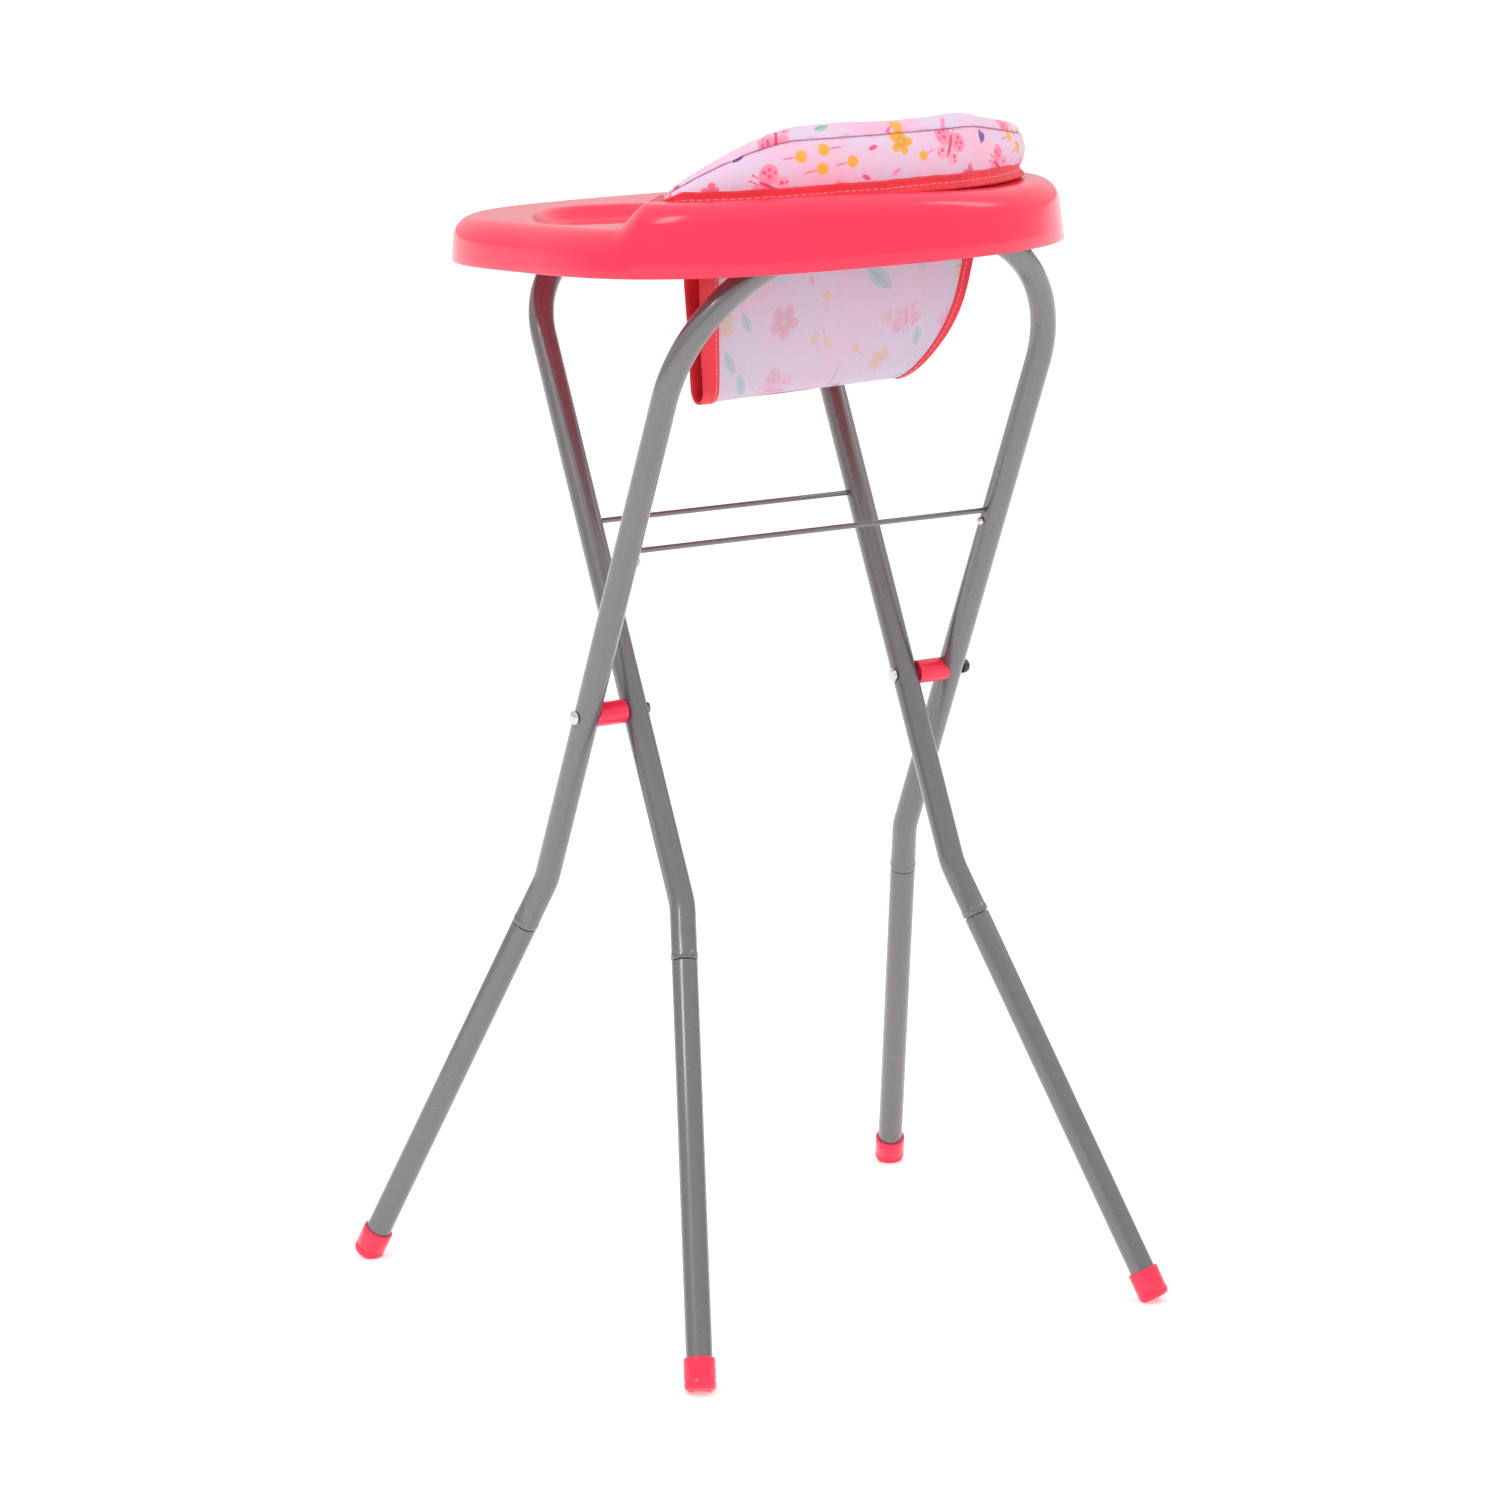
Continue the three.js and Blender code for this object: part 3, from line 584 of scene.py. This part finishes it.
def tube_path(size):
    """Stations along a U tube in its own plane, each a place and a heading. The first list runs from the
    left seam up to the middle of the top bar, and the second from there down to the right seam."""
    half, bend, top = size["half"], size["bend"], size["top"]
    splay = math.atan2(SPLAY, LEG_REACH - KNEE_DROP)
    run = KNEE_R * math.tan(splay / 2)
    below = run + SEAM
    left = []

    def add(x, z, angle):
        left.append((Vector((x, 0, z)), Vector((math.sin(angle), 0, math.cos(angle)))))

    foot = Vector((-half - below * math.sin(splay), 0, -KNEE_DROP - below * math.cos(splay)))
    lip_stations = (0.0, 0.5, 1.0, 4.0, 4.6, 5.2)
    for along in (*lip_stations, SEAM * 0.6):
        add(foot.x + along * math.sin(splay), foot.z + along * math.cos(splay), splay)
    for i in range(9):
        angle = splay * (1 - i / 8)
        add(-half - KNEE_R * (1 - math.cos(angle)), -KNEE_DROP + run - KNEE_R * math.sin(angle), angle)
    straight_from, straight_to = left[-1][0].z, top - bend
    for i in range(1, 30):
        add(-half, mix(straight_from, straight_to, i / 30), 0)
    for i in range(31):
        angle = math.radians(3 * i)
        add(-half + bend * (1 - math.cos(angle)), top - bend + bend * math.sin(angle), angle)
    right = [(Vector((-p.x, 0, p.z)), Vector((d.x, 0, -d.z))) for p, d in reversed(left)]
    return left, right


def swept_tube(name, stations, radii, place, sides=40):
    normal = Vector((0, 1, 0))
    points = []
    for (centre, heading), radius in zip(stations, radii):
        outward = heading.cross(normal)
        for i in range(sides):
            angle = 2 * math.pi * i / sides
            points.append(centre + (normal * math.cos(angle) + outward * math.sin(angle)) * radius)
    return mesh_of(name, points, ring_faces(len(stations), sides), place)


def upper_tube(name, size, lean, material, body, node):
    """The bent U: its two open ends have a small rolled lip around the lower tube's neck."""
    left, right = tube_path(size)
    lip = [TUBE_R - 0.45, TUBE_R + 0.15, TUBE_R + 0.35, TUBE_R + 0.35, TUBE_R + 0.1, TUBE_R]
    radii = lip + [TUBE_R] * (len(left) - len(lip))
    radii = radii + radii[::-1]
    stations = left + right
    (first, first_heading), (last, last_heading) = stations[0], stations[-1]
    bore_shown = 6
    inside = (first + first_heading * bore_shown, first_heading)
    inside_right = (last - last_heading * bore_shown, last_heading)
    stations = [inside, stations[0]] + stations + [stations[-1], inside_right]
    radii = [TUBE_BORE_R, TUBE_BORE_R] + radii + [TUBE_BORE_R, TUBE_BORE_R]
    mesh = swept_tube(name, stations, radii, frame_place(lean))
    return add_piece(name, mesh, material, body, (node,), sharp=50)


def leg_axis(size, side):
    knee = Vector((side * size["half"], 0, -KNEE_DROP))
    foot = Vector((side * (size["half"] + SPLAY), 0, -LEG_REACH))
    return foot, (knee - foot).normalized(), (knee - foot).length


def lathe(name, profile, place, sides=48):
    """A profile of (radius, height) turned about Z."""
    points = []
    for radius, height in profile:
        for i in range(sides):
            angle = 2 * math.pi * i / sides
            points.append((radius * math.cos(angle), radius * math.sin(angle), height))
    faces = ring_faces(len(profile), sides)
    faces.append(tuple(range(sides))[::-1])
    faces.append(tuple(range((len(profile) - 1) * sides, len(profile) * sides)))
    return mesh_of(name, points, faces, place)


def rounded(radius, height, round_by, steps=5):
    """The last stretch of a turned profile: up a wall and over its rounded top edge."""
    return [(radius - round_by * (1 - math.cos(a)), height - round_by + round_by * math.sin(a))
            for a in (math.radians(90 * i / steps) for i in range(steps + 1))]


def legs(prefix, size, lean, tube, plastic, body):
    splay = math.atan2(SPLAY, LEG_REACH - KNEE_DROP)
    for side, hand in ((-1, "left"), (1, "right")):
        foot, up, reach = leg_axis(size, side)
        length = reach - KNEE_R * math.tan(splay / 2) - SEAM - 0.3
        turn = up.to_track_quat("Z", "Y").to_matrix().to_4x4()
        place = frame_place(lean) @ Matrix.Translation(foot * MM) @ turn
        profile = [(TUBE_R, 1.0), (TUBE_R, length * 0.5)] + rounded(TUBE_R, length, 0.8)
        profile += [(TUBE_BORE_R - 0.3, length), (TUBE_BORE_R - 0.3, length + 12)]
        name = f"{prefix}_lower_leg_{hand}"
        add_piece(f"{name}_tube", lathe(name, profile, place), tube, body, (name,), 50)

        radius, sleeve, end = CAP["radius"], CAP["sleeve"], CAP["end"]
        base = [(radius - 2.6, -end), (radius - 1.3, -end + 0.35), (radius - 0.45, -end + 1.1),
                (radius, -end + 2.6), (radius, -end + 5.0), (radius - 0.25, -end + 5.4),
                (radius - 0.25, -end + 6.2), (radius, -end + 6.6)]
        profile = base + rounded(radius, sleeve, 0.9) + [(TUBE_R + 0.1, sleeve), (TUBE_R + 0.1, sleeve - 3)]
        name = f"{prefix}_foot_cap_{hand}"
        mesh = lathe(name, profile, place)
        for vertex in mesh.vertices:
            vertex.co.z = max(vertex.co.z, 0.0)
        add_piece(f"{name}_moulding", mesh, plastic, body, (name,), 60)


# ---- tray ----
def signed_power(value, power):
    return math.copysign(abs(value) ** power, value)


def tray_point(angle, inset):
    c, s = math.cos(angle), math.sin(angle)
    reach, power = (TRAY["left"], LEFT_POWER) if c < 0 else (TRAY["right"], RIGHT_POWER)
    return Vector((TRAY["x"] + (reach - inset) * signed_power(c, 2 / power),
                   (TRAY["depth"] - inset) * signed_power(s, 2 / power)))


STEP_ALONG = (STEP_BACK - STEP_FRONT).normalized()


def past_step(x, y):
    """How far a place is on the mat's side of the step's foot."""
    away = Vector((x, y)) - (STEP_FRONT + STEP_BACK) / 2
    return away.x * STEP_ALONG.y - away.y * STEP_ALONG.x


def rim_height(x, y):
    """The rim rises at the step, and falls a little again towards the tray's right end."""
    high = HIGH_RIM - RIM_FALL * smoothstep(-80, 100, x)
    return mix(LOW_RIM, high, smoothstep(-2, RAMP + 4, past_step(x, y)))


def deck_height(x, y, inset):
    step = past_step(x, y)
    recess = smoothstep(RECESS_INSET - 2, RECESS_INSET + 1.5, inset)
    recess *= smoothstep(RECESS_FROM_STEP, RECESS_FROM_STEP + 3, step)
    rim = rim_height(x, y)
    z = mix(rim, MAT_FLOOR, recess)
    u, v = x - BASIN["x"], y - BASIN["y"]
    c, s = math.cos(BASIN["turn"]), math.sin(BASIN["turn"])
    across, along = abs(u * c + v * s) / BASIN["half_x"], abs(v * c - u * s) / BASIN["half_y"]
    reach = (across ** BASIN["power"] + along ** BASIN["power"]) ** (1 / BASIN["power"])
    return mix(BASIN_FLOOR, z, smoothstep(0.86, 1.06, reach))


def tray_skin(material):
    """The moulding as one thin shell: skirt, rounded rim, basin, step and the mat's recess."""
    count = 420
    angles = [2 * math.pi * (i + 0.5) / count for i in range(count)]
    points = []
    rings = 0

    def add_ring(inset, height_at):
        nonlocal rings
        rings += 1
        for angle in angles:
            p = tray_point(angle, inset)
            z = height_at(p.x, p.y)
            shrink = 1 - DRAFT * z / HIGH_RIM
            points.append((p.x * shrink, p.y * shrink, z))

    add_ring(0.5, lambda x, y: 0.0)
    add_ring(0.0, lambda x, y: 0.6)
    for share in (0.3, 0.65, 0.95):
        add_ring(0.0, lambda x, y: mix(0.6, rim_height(x, y) - RIM_ROUND, share))
    for i in range(1, 13):
        a = math.radians(90 * i / 12)
        add_ring(RIM_ROUND * (1 - math.cos(a)),
                 lambda x, y: rim_height(x, y) - RIM_ROUND * (1 - math.sin(a)))
    inset = RIM_ROUND
    while inset < TRAY["depth"] - 6:
        inset += 1.0 if inset < RECESS_INSET + 4 else 1.8
        add_ring(inset, lambda x, y: deck_height(x, y, inset))
    faces = ring_faces(rings, count)
    faces.append(tuple(range((rings - 1) * count, rings * count)))
    mesh = mesh_of("tray_skin", points, faces, TRAY_PLACE)
    skin = add_piece("tray_shell", mesh, material, "tray_unit", ("tray",), sharp=55)
    shell = skin.modifiers.new("wall", "SOLIDIFY")
    shell.thickness = WALL * MM
    shell.offset = -1
    return skin


def block(work, low, high, bevel):
    """Adds a box with softened edges to a bmesh, in millimetres."""
    made = bmesh.ops.create_cube(work, size=1)["verts"]
    centre = [(a + b) / 2 for a, b in zip(low, high)]
    spans = [b - a for a, b in zip(low, high)]
    bmesh.ops.scale(work, vec=spans, verts=made)
    bmesh.ops.translate(work, vec=centre, verts=made)
    edges = list({e for v in made for e in v.link_edges})
    bmesh.ops.bevel(work, geom=edges, offset=bevel, segments=2, profile=0.7, affect="EDGES")


def to_tray(x, y, z):
    """A world place in millimetres, in the tray's own coordinates."""
    return (TRAY_PLACE.inverted() @ (Vector((x, y, z)) * MM)) / MM


def tray_supports(material):
    """Under the deck: a boss over each clip and the two ribs that hold the sling."""
    work = bmesh.new()
    half = TUBE_R + CLIP["cheek"]
    for size, side in ((OUTER, -1), (INNER, 1)):
        bar = to_tray(0, side * size["top"] * math.sin(TILT), PIVOT_Z + size["top"] * math.cos(TILT))
        for x in (-CLIP["x"], CLIP["x"]):
            deck = deck_height(x, bar.y, TRAY["depth"] - abs(bar.y)) - WALL - 1
            low = bar.z + TUBE_R + CLIP["crown"] + 0.3
            wide = CLIP["width"] / 2
            block(work, (x - wide, bar.y - half, low), (x + wide, bar.y + half, deck), 0.6)
    foot = SLING["top"] + 1 - RIB["deep"]
    off = RIB["thick"] / 2 + RIB["off"]
    leant = SLING_LEAN * (SLING["top"] - foot) / SLING["drop"]
    for y in (SLING["front"] - off, SLING["back"] + off + leant):
        low = (SLING["x"] - RIB["half"], y - RIB["thick"] / 2, foot)
        high = (SLING["x"] + RIB["half"], y + RIB["thick"] / 2, MAT_FLOOR - WALL)
        block(work, low, high, 0.5)
    mesh = bpy.data.meshes.new("tray_supports")
    work.to_mesh(mesh)
    work.free()
    mesh.transform(TRAY_PLACE @ SCALE)
    add_piece("tray_ribs_and_bosses", mesh, material, "tray_unit", sharp=50)


# ---- changing mat ----
def resample(points, count):
    """The same closed outline with count points, evenly apart."""
    ends = points[1:] + points[:1]
    lengths = [(b - a).length for a, b in zip(points, ends)]
    total, walked, i = sum(lengths), 0.0, 0
    made = []
    for k in range(count):
        goal = total * k / count
        while walked + lengths[i] < goal:
            walked += lengths[i]
            i += 1
        made.append(points[i].lerp(ends[i], (goal - walked) / lengths[i]))
    return made


def mat_outline(count=560, softening=60):
    """The tray's oval, cut along the step, as an even outline with rounded corners."""
    inside = []
    tries = 3600
    foot_in = 3
    for i in range(tries):
        p = tray_point(2 * math.pi * i / tries, MAT["inset"] + foot_in)
        if past_step(p.x, p.y) >= MAT["from_step"] + foot_in:
            inside.append(p)
    gap = max(range(len(inside)), key=lambda i: (inside[i] - inside[i - 1]).length)
    inside = inside[gap:] + inside[:gap]
    outline = resample(inside, count)
    for _ in range(softening):
        outline = [(outline[i - 1] + 2 * outline[i] + outline[(i + 1) % count]) / 4 for i in range(count)]
    return outline


SPINE = (Vector((-45, -40)), Vector((95, -4)))


def spine_point(p):
    """The nearest place on the mat's middle line."""
    a, b = SPINE
    share = min(1.0, max(0.0, (p - a).dot(b - a) / (b - a).length_squared))
    return a.lerp(b, share)


def side_share(x, y):
    """Height of the padded side at a place, as a share of its greatest."""
    start, end = SIDE_RISE
    along = min(1.0, max(0.0, (past_step(x, y) - start) / (end - start)))
    rise = 1 - (1 - along) ** RISE_POWER
    back = smoothstep(*SIDE_BACK, y)
    right = smoothstep(*SIDE_RIGHT, x)
    return mix(LEFT_SHARE, 1, rise) * mix(1, BACK_SHARE, back) * mix(1, RIGHT_SHARE, right)


# the padded section from its foot over the side to the middle: how far in, and how high as a share
WALL_SECTION = ((0.6, 0.0), (-0.6, 0.06), (-1.6, 0.14), (-2.3, 0.24), (-2.8, 0.34), (-3.0, 0.44),
                (-2.8, 0.54), (-2.3, 0.63), (-1.6, 0.71), (-0.7, 0.775), (0.4, 0.825), (2.4, 0.84))
SEAM_SHARE = WALL_SECTION[-1][1]
TOP_SECTION = ((0.3, 0.855), (0.5, 0.9), (1.7, 0.95), (4.2, 0.99), (7.6, 1.015), (11.5, 1.02),
               (15.0, 1.0), (18.5, 0.95), (22.0, 0.87), (25.0, 0.76), (28.0, 0.62), (31.0, 0.5),
               (34.5, 0.42), (39.0, 0.385))
MIDDLE_SHARE = MAT["middle"] / MAT["side"]


def mat_pad(material):
    """The mat: one closed padded form whose side and top are cut separately and meet at a seam."""
    outline = mat_outline()
    count = len(outline)
    steps = [(outline[(i + 1) % count] - outline[i]).length for i in range(count)]
    around = [sum(steps[:i]) for i in range(count + 1)]
    points, cloth = [], []

    def puckers(k, p, depth):
        """Small folds that run up from the band and down from the seam."""
        s = around[k]
        fold = noise.noise(Vector((s * 0.11, depth * 0.6, 3.1))) + 0.6 * noise.noise(
            Vector((s * 0.27, depth * 0.9, 8.4)))
        more = 1 + 1.4 * smoothstep(95, 150, p.x)
        return fold * more

    def ring(inset, share, kind):
        for k, p in enumerate(outline):
            spine = spine_point(p)
            reach = (spine - p).length
            inward = (spine - p) / reach
            q = p + inward * min(inset, reach)
            height = MAT["side"] * side_share(q.x, q.y)
            z = MAT["base"] + height * share
            if kind == "wall":
                edge = min(share, SEAM_SHARE - share) / (SEAM_SHARE / 2)
                size = 0.5 + 0.5 * (1 - max(0.0, edge))
                q = q - inward * puckers(k, p, share * 3) * size * 0.8 * min(1.0, share * 8)
                q.x += RIGHT_BULGE * smoothstep(90, 150, p.x) * smoothstep(0.0, 0.5, share)
                cloth_at = (around[k], height * share)
            else:
                q.x += RIGHT_BULGE * smoothstep(90, 150, p.x) * (1 - smoothstep(0, 45, inset))
                calm = smoothstep(1.0, 7.0, inset) * (1 - 0.4 * smoothstep(20, 60, inset))
                z += puckers(k, p, inset * 0.1) * 0.55 * (1 - smoothstep(1, 16, inset))
                swell = noise.noise(Vector((q.x * 0.028, q.y * 0.028, 5.0)))
                z += calm * swell * 0.8
                cloth_at = (q.x + 300, q.y + 300)
            points.append((q.x, q.y, z))
            cloth.append(cloth_at)

    ring(3.0, 0.0, "wall")
    for inset, share in WALL_SECTION:
        ring(inset, share, "wall")
    rows = len(WALL_SECTION) + 1
    for inset, share in TOP_SECTION:
        ring(inset, share, "top")
    inset = TOP_SECTION[-1][0]
    while inset < 118:
        inset += 4.5
        crown = 0.02 * math.sin(math.radians(min(90, (inset - 39) * 2)))
        ring(inset, MIDDLE_SHARE + 0.042 - 0.04 * smoothstep(39, 55, inset) + crown, "top")
    rings = len(points) // count
    faces = ring_faces(rings, count)
    faces.append(tuple(range(count))[::-1])
    mesh = bpy.data.meshes.new("mat")
    mesh.from_pydata([tuple(p) for p in points], [], faces)
    uv = mesh.uv_layers.new(name="cloth")
    total = around[-1]
    for face in mesh.polygons:
        row = face.vertices[0] // count
        for corner in face.loop_indices:
            index = mesh.loops[corner].vertex_index
            u, v = cloth[index]
            if row < rows - 1:
                if index % count == 0 and max(face.vertices) % count == count - 1:
                    u = total
            elif row == rows - 1 and index // count == rows - 1:
                x, y, _ = points[index]
                u, v = x + 300, y + 300
            uv.data[corner].uv = (u * MM, v * MM)
    mesh.transform(TRAY_PLACE @ SCALE)
    work = bmesh.new()
    work.from_mesh(mesh)
    bmesh.ops.remove_doubles(work, verts=work.verts, dist=1e-5)
    bmesh.ops.dissolve_degenerate(work, edges=work.edges, dist=1e-5)
    work.to_mesh(mesh)
    work.free()
    pad = add_piece("mat_cover", mesh, material, "tray_unit", ("changing_mat",), sharp=75)
    return outline


TAPE_ROW = 1.5                      # cloth between two rows of a tape's section, for its weave


def strip(name, rows, place, material, body, closed, replaced=(), sharp=60):
    """Cloth tape from rows of points: each row runs along the tape, and the rows wrap its section."""
    count = len(rows[0])
    points = [p for row in rows for p in row]
    faces = ring_faces(len(rows), count, closed)
    mesh = mesh_of(name, points, faces, place)
    uv = mesh.uv_layers.new(name="cloth")
    along = [0.0]
    for a, b in zip(rows[0], rows[0][1:]):
        along.append(along[-1] + (Vector(b) - Vector(a)).length)
    for face in mesh.polygons:
        for corner in face.loop_indices:
            index = mesh.loops[corner].vertex_index
            uv.data[corner].uv = (along[index % count] * MM, index // count * TAPE_ROW * MM)
    return add_piece(name, mesh, material, body, replaced, sharp)


def stitches(name, route, place, material, body, length=3.0, gap=1.9, radius=0.26):
    """A row of short thread dashes along a route of millimetre points."""
    work_points, faces = [], []
    spans = [(b - a).length for a, b in zip(route, route[1:])]
    total = sum(spans)

    def at(distance):
        walked = 0.0
        for i, span in enumerate(spans):
            if walked + span >= distance:
                return route[i].lerp(route[i + 1], (distance - walked) / span)
            walked += span
        return route[-1]

    start = gap
    while start + length < total:
        a, b = at(start), at(start + length)
        ahead = (b - a).normalized()
        side = ahead.orthogonal().normalized()
        up = ahead.cross(side)
        base = len(work_points)
        for share, size in ((0.0, 0.35), (0.12, 0.85), (0.5, 1.0), (0.88, 0.85), (1.0, 0.35)):
            centre = a.lerp(b, share)
            for i in range(6):
                angle = math.radians(60 * i)
                work_points.append(centre + (side * math.cos(angle) + up * math.sin(angle)) * radius * size)
        faces += [tuple(base + i for i in f) for f in ring_faces(5, 6)]
        faces.append(tuple(base + i for i in range(5, -1, -1)))
        faces.append(tuple(base + 24 + i for i in range(6)))
        start += length + gap
    mesh = mesh_of(name, work_points, faces, place)
    return add_piece(name, mesh, material, body, sharp=80)


def mat_band(outline, tape, thread):
    """Red tape sewn round the mat's foot: it flares out over the tray, is lower where the mat's side is low,
    and its stitches run along it."""
    count = len(outline)
    tall, share_of_side, least = 9.6, 0.6, 0.4
    section = ((0.4, 8.4), (-1.8, tall), (-3.2, 9.4), (-3.9, 8.4), (-3.9, 7.3), (-4.2, 5.6), (-5.2, 3.8),
               (-6.8, 2.4), (-7.3, 1.5), (-6.6, 0.7), (-4.0, 0.0), (1.5, -0.1))
    rows = []
    for inset, up in section:
        row = []
        for k, p in enumerate(outline):
            spine = spine_point(p)
            inward = (spine - p).normalized()
            wave = noise.noise(Vector((k * 0.16, 2.0, 4.0))) * 0.7
            wave += noise.noise(Vector((k * 0.05, 7.0, 1.0))) * 0.6
            lift = max(0.0, up / tall)
            side = MAT["side"] * side_share(p.x, p.y)
            low_side = min(1.0, max(least, side * share_of_side / tall))
            q = p + inward * (inset + wave * (0.9 if inset < -2 else 0.3))
            row.append(Vector((q.x, q.y, MAT["base"] + (up + wave * 0.8 * lift) * low_side)))
        rows.append(row)
    strip("mat_base_tape", rows, TRAY_PLACE, tape, "tray_unit", True, ("mat_base_band",))
    route = [rows[5][k].lerp(rows[6][k], 0.3) + (rows[5][k] - rows[1][k]).normalized() * 0.25
             for k in range(count)]
    route.append(route[0].copy())
    stitches("mat_base_stitches", route, TRAY_PLACE, thread, "tray_unit", length=3.4, gap=1.4, radius=0.22)


# ---- storage sling ----
def sling_point(across, down, offset=0.0, creased=True):
    """A place on the hung cloth. across is -1 to 1 over its width; down is millimetres of cloth from the
    top of the front panel, round the fold and up the back; offset is towards the outside. Without creased it
    is the smooth form that the cloth is cut for, with no belly or wrinkles."""
    front, back = SLING["front"], SLING["back"]
    radius = (back - front) / 2 - 0.8
    straight = SLING["drop"] - (back - front) / 2
    arc = math.pi * radius
    middle = (front + back) / 2
    if down < straight:
        y, z = middle - radius - offset, SLING["top"] - down
    elif down < straight + arc:
        angle = math.pi + (down - straight) / radius
        y = middle + (radius + offset) * math.cos(angle)
        z = SLING["top"] - straight + (radius + offset) * math.sin(angle)
    else:
        y, z = middle + radius + offset, SLING["top"] - straight + (down - straight - arc)
    hung = (SLING["top"] - z) / SLING["drop"]
    y = middle + (y - middle) * (1 - SLING_NIP * max(0.0, hung))
    lean = SLING_LEAN * hung * (LEAN_EARLY + LEAN_LATE * hung)
    y += lean
    share = min(1.0, max(0.0, hung))
    if across < 0:
        narrow = LEFT_IN * share ** LEFT_IN_POWER - LEFT_OUT
    else:
        narrow = RIGHT_IN * share ** RIGHT_IN_POWER
    width = SLING["half"] - narrow
    x = SLING["x"] + across * width
    belly = math.sin(math.pi * share) * (1 - across * across)
    wrinkle = noise.noise(Vector((x * 0.022, z * 0.014, y * 0.01))) * 2.2
    wrinkle += noise.noise(Vector((x * 0.07, z * 0.03, 6.0))) * 0.7
    push = -1 if y < middle + lean else 1
    if creased:
        y += push * (SLING_BELLY * belly + wrinkle * min(1.0, hung * 2.5))
    return Vector((x, y, z + share ** 2 * (FOLD_LIFT + FOLD_LIFT * across)))


def sling_length():
    front, back = SLING["front"], SLING["back"]
    radius = (back - front) / 2 - 0.8
    return 2 * (SLING["drop"] - (back - front) / 2) + math.pi * radius


def sling_cut():
    """The cloth's flat cut in millimetres: greatest width, length down the middle, and area. It comes from
    the smooth form and never from the finished mesh."""
    steps = 400
    rows = [[sling_point(across, sling_length() * k / steps, creased=False) for across in (-1, 0, 1)]
            for k in range(steps + 1)]
    widths = [(right - left).length for left, _, right in rows]
    lengths = [(rows[k + 1][1] - rows[k][1]).length for k in range(steps)]
    area = sum(lengths[k] * (widths[k] + widths[k + 1]) / 2 for k in range(steps))
    return max(widths), sum(lengths), area


def sling(cloth_material, tape, thread):
    length = sling_length()
    wide, tall = 110, 150
    points, flat = [], []
    for j in range(tall + 1):
        for i in range(wide + 1):
            across = -1 + 2 * i / wide
            points.append(sling_point(across, length * j / tall))
            flat.append((across * SLING["half"], length * j / tall))
    count = wide + 1
    faces = [(j * count + i, j * count + i + 1, (j + 1) * count + i + 1, (j + 1) * count + i)
             for j in range(tall) for i in range(wide)]
    mesh = bpy.data.meshes.new("sling")
    mesh.from_pydata([tuple(p) for p in points], [], faces)
    uv = mesh.uv_layers.new(name="cloth")
    for corner in mesh.loops:
        u, v = flat[corner.vertex_index]
        uv.data[corner.index].uv = (u * MM, v * MM)
    mesh.transform(TRAY_PLACE @ SCALE)
    panel = add_piece("sling_cloth", mesh, cloth_material, "tray_unit", ("storage_sling",))
    for side, hand in ((-1, "left"), (1, "right")):
        edge = 1 - SLING_HEMS[hand] / SLING["half"]
        # the tape folds over the cloth's edge: outer face, round the edge, inner face
        section = ((edge - 0.004, 0.35), (edge, 0.75), (edge + 0.02, 0.95), (edge + 0.07, 0.9), (0.985, 0.95),
                   (1.002, 0.65), (1.006, 0.0), (1.002, -0.65), (0.985, -0.95), (edge + 0.07, -0.9),
                   (edge + 0.02, -0.95), (edge, -0.75), (edge - 0.004, -0.35))
        steps = 220
        rows = [[sling_point(side * across, length * k / steps, off) for k in range(steps + 1)]
                for across, off in section]
        name = f"sling_binding_{hand}"
        strip(f"{name}_tape", rows, TRAY_PLACE, tape, "tray_unit", False, (name,))
        for face, off in (("outer", 1.1), ("inner", -1.1)):
            route = [sling_point(side * (edge + 0.022), length * k / 160, off) for k in range(161)]
            stitches(f"sling_stitches_{hand}_{face}", route, TRAY_PLACE, thread, "tray_unit",
                                   length=2.6, gap=0.9, radius=0.17)
    cut_width, cut_length, cut_area = sling_cut()


# ---- the whole table ----
def build():
    place_camera()
    place_stage()
    paint, plastic = painted_tube(), pink_plastic()
    bright = metal("bright_steel", (0.72, 0.72, 0.74), 0.22)
    dark = metal("dark_steel", (0.09, 0.09, 0.1), 0.35)
    upper_tube("outer_frame_tube", OUTER, TILT, paint, "outer_frame", "outer_upper_frame")
    upper_tube("inner_frame_tube", INNER, -TILT, paint, "inner_frame", "inner_upper_frame")
    legs("outer", OUTER, TILT, paint, plastic, "outer_frame")
    legs("inner", INNER, -TILT, paint, plastic, "inner_frame")
    for prefix in ("outer", "inner"):
        refined(f"{prefix}_cross_wire", f"{prefix}_wire", paint, f"{prefix}_frame", 0.1)
    for hand in ("left", "right"):
        refined(f"wire_screw_{hand}", f"wire_screw_{hand}_head", bright, "outer_frame", 0.15)
        refined(f"pivot_spacer_{hand}", f"pivot_spacer_{hand}_moulding", plastic, "outer_frame")
        refined(f"front_bar_clip_{hand}", f"front_clip_{hand}", plastic, "tray_unit", 0.5)
        refined(f"back_bar_clip_{hand}", f"back_clip_{hand}", plastic, "tray_unit", 0.5)
    refined("pivot_rivet_left", "rivet_left", bright, "outer_frame", 0.12)
    refined("pivot_bolt_right", "bolt_right", bright, "outer_frame", 0.12)
    refined("pivot_cap_nut_right", "cap_nut_right", dark, "outer_frame", 0.2)
    tray_skin(plastic)
    tray_supports(plastic)
    tape, thread = red_binding(), pale_thread()
    outline = mat_pad(printed_cloth("mat_print", TILE, MOTIFS, (-32.0, 12.0)))
    mat_band(outline, tape, thread)
    # the sling's print is greyed and darkened: partly its reverse side, partly painted shade under the tray
    sling(printed_cloth("sling_print", SLING_TILE, SLING_MOTIFS, (110.0, -18.0), faded_and_shaded=0.68), tape, thread)


build()
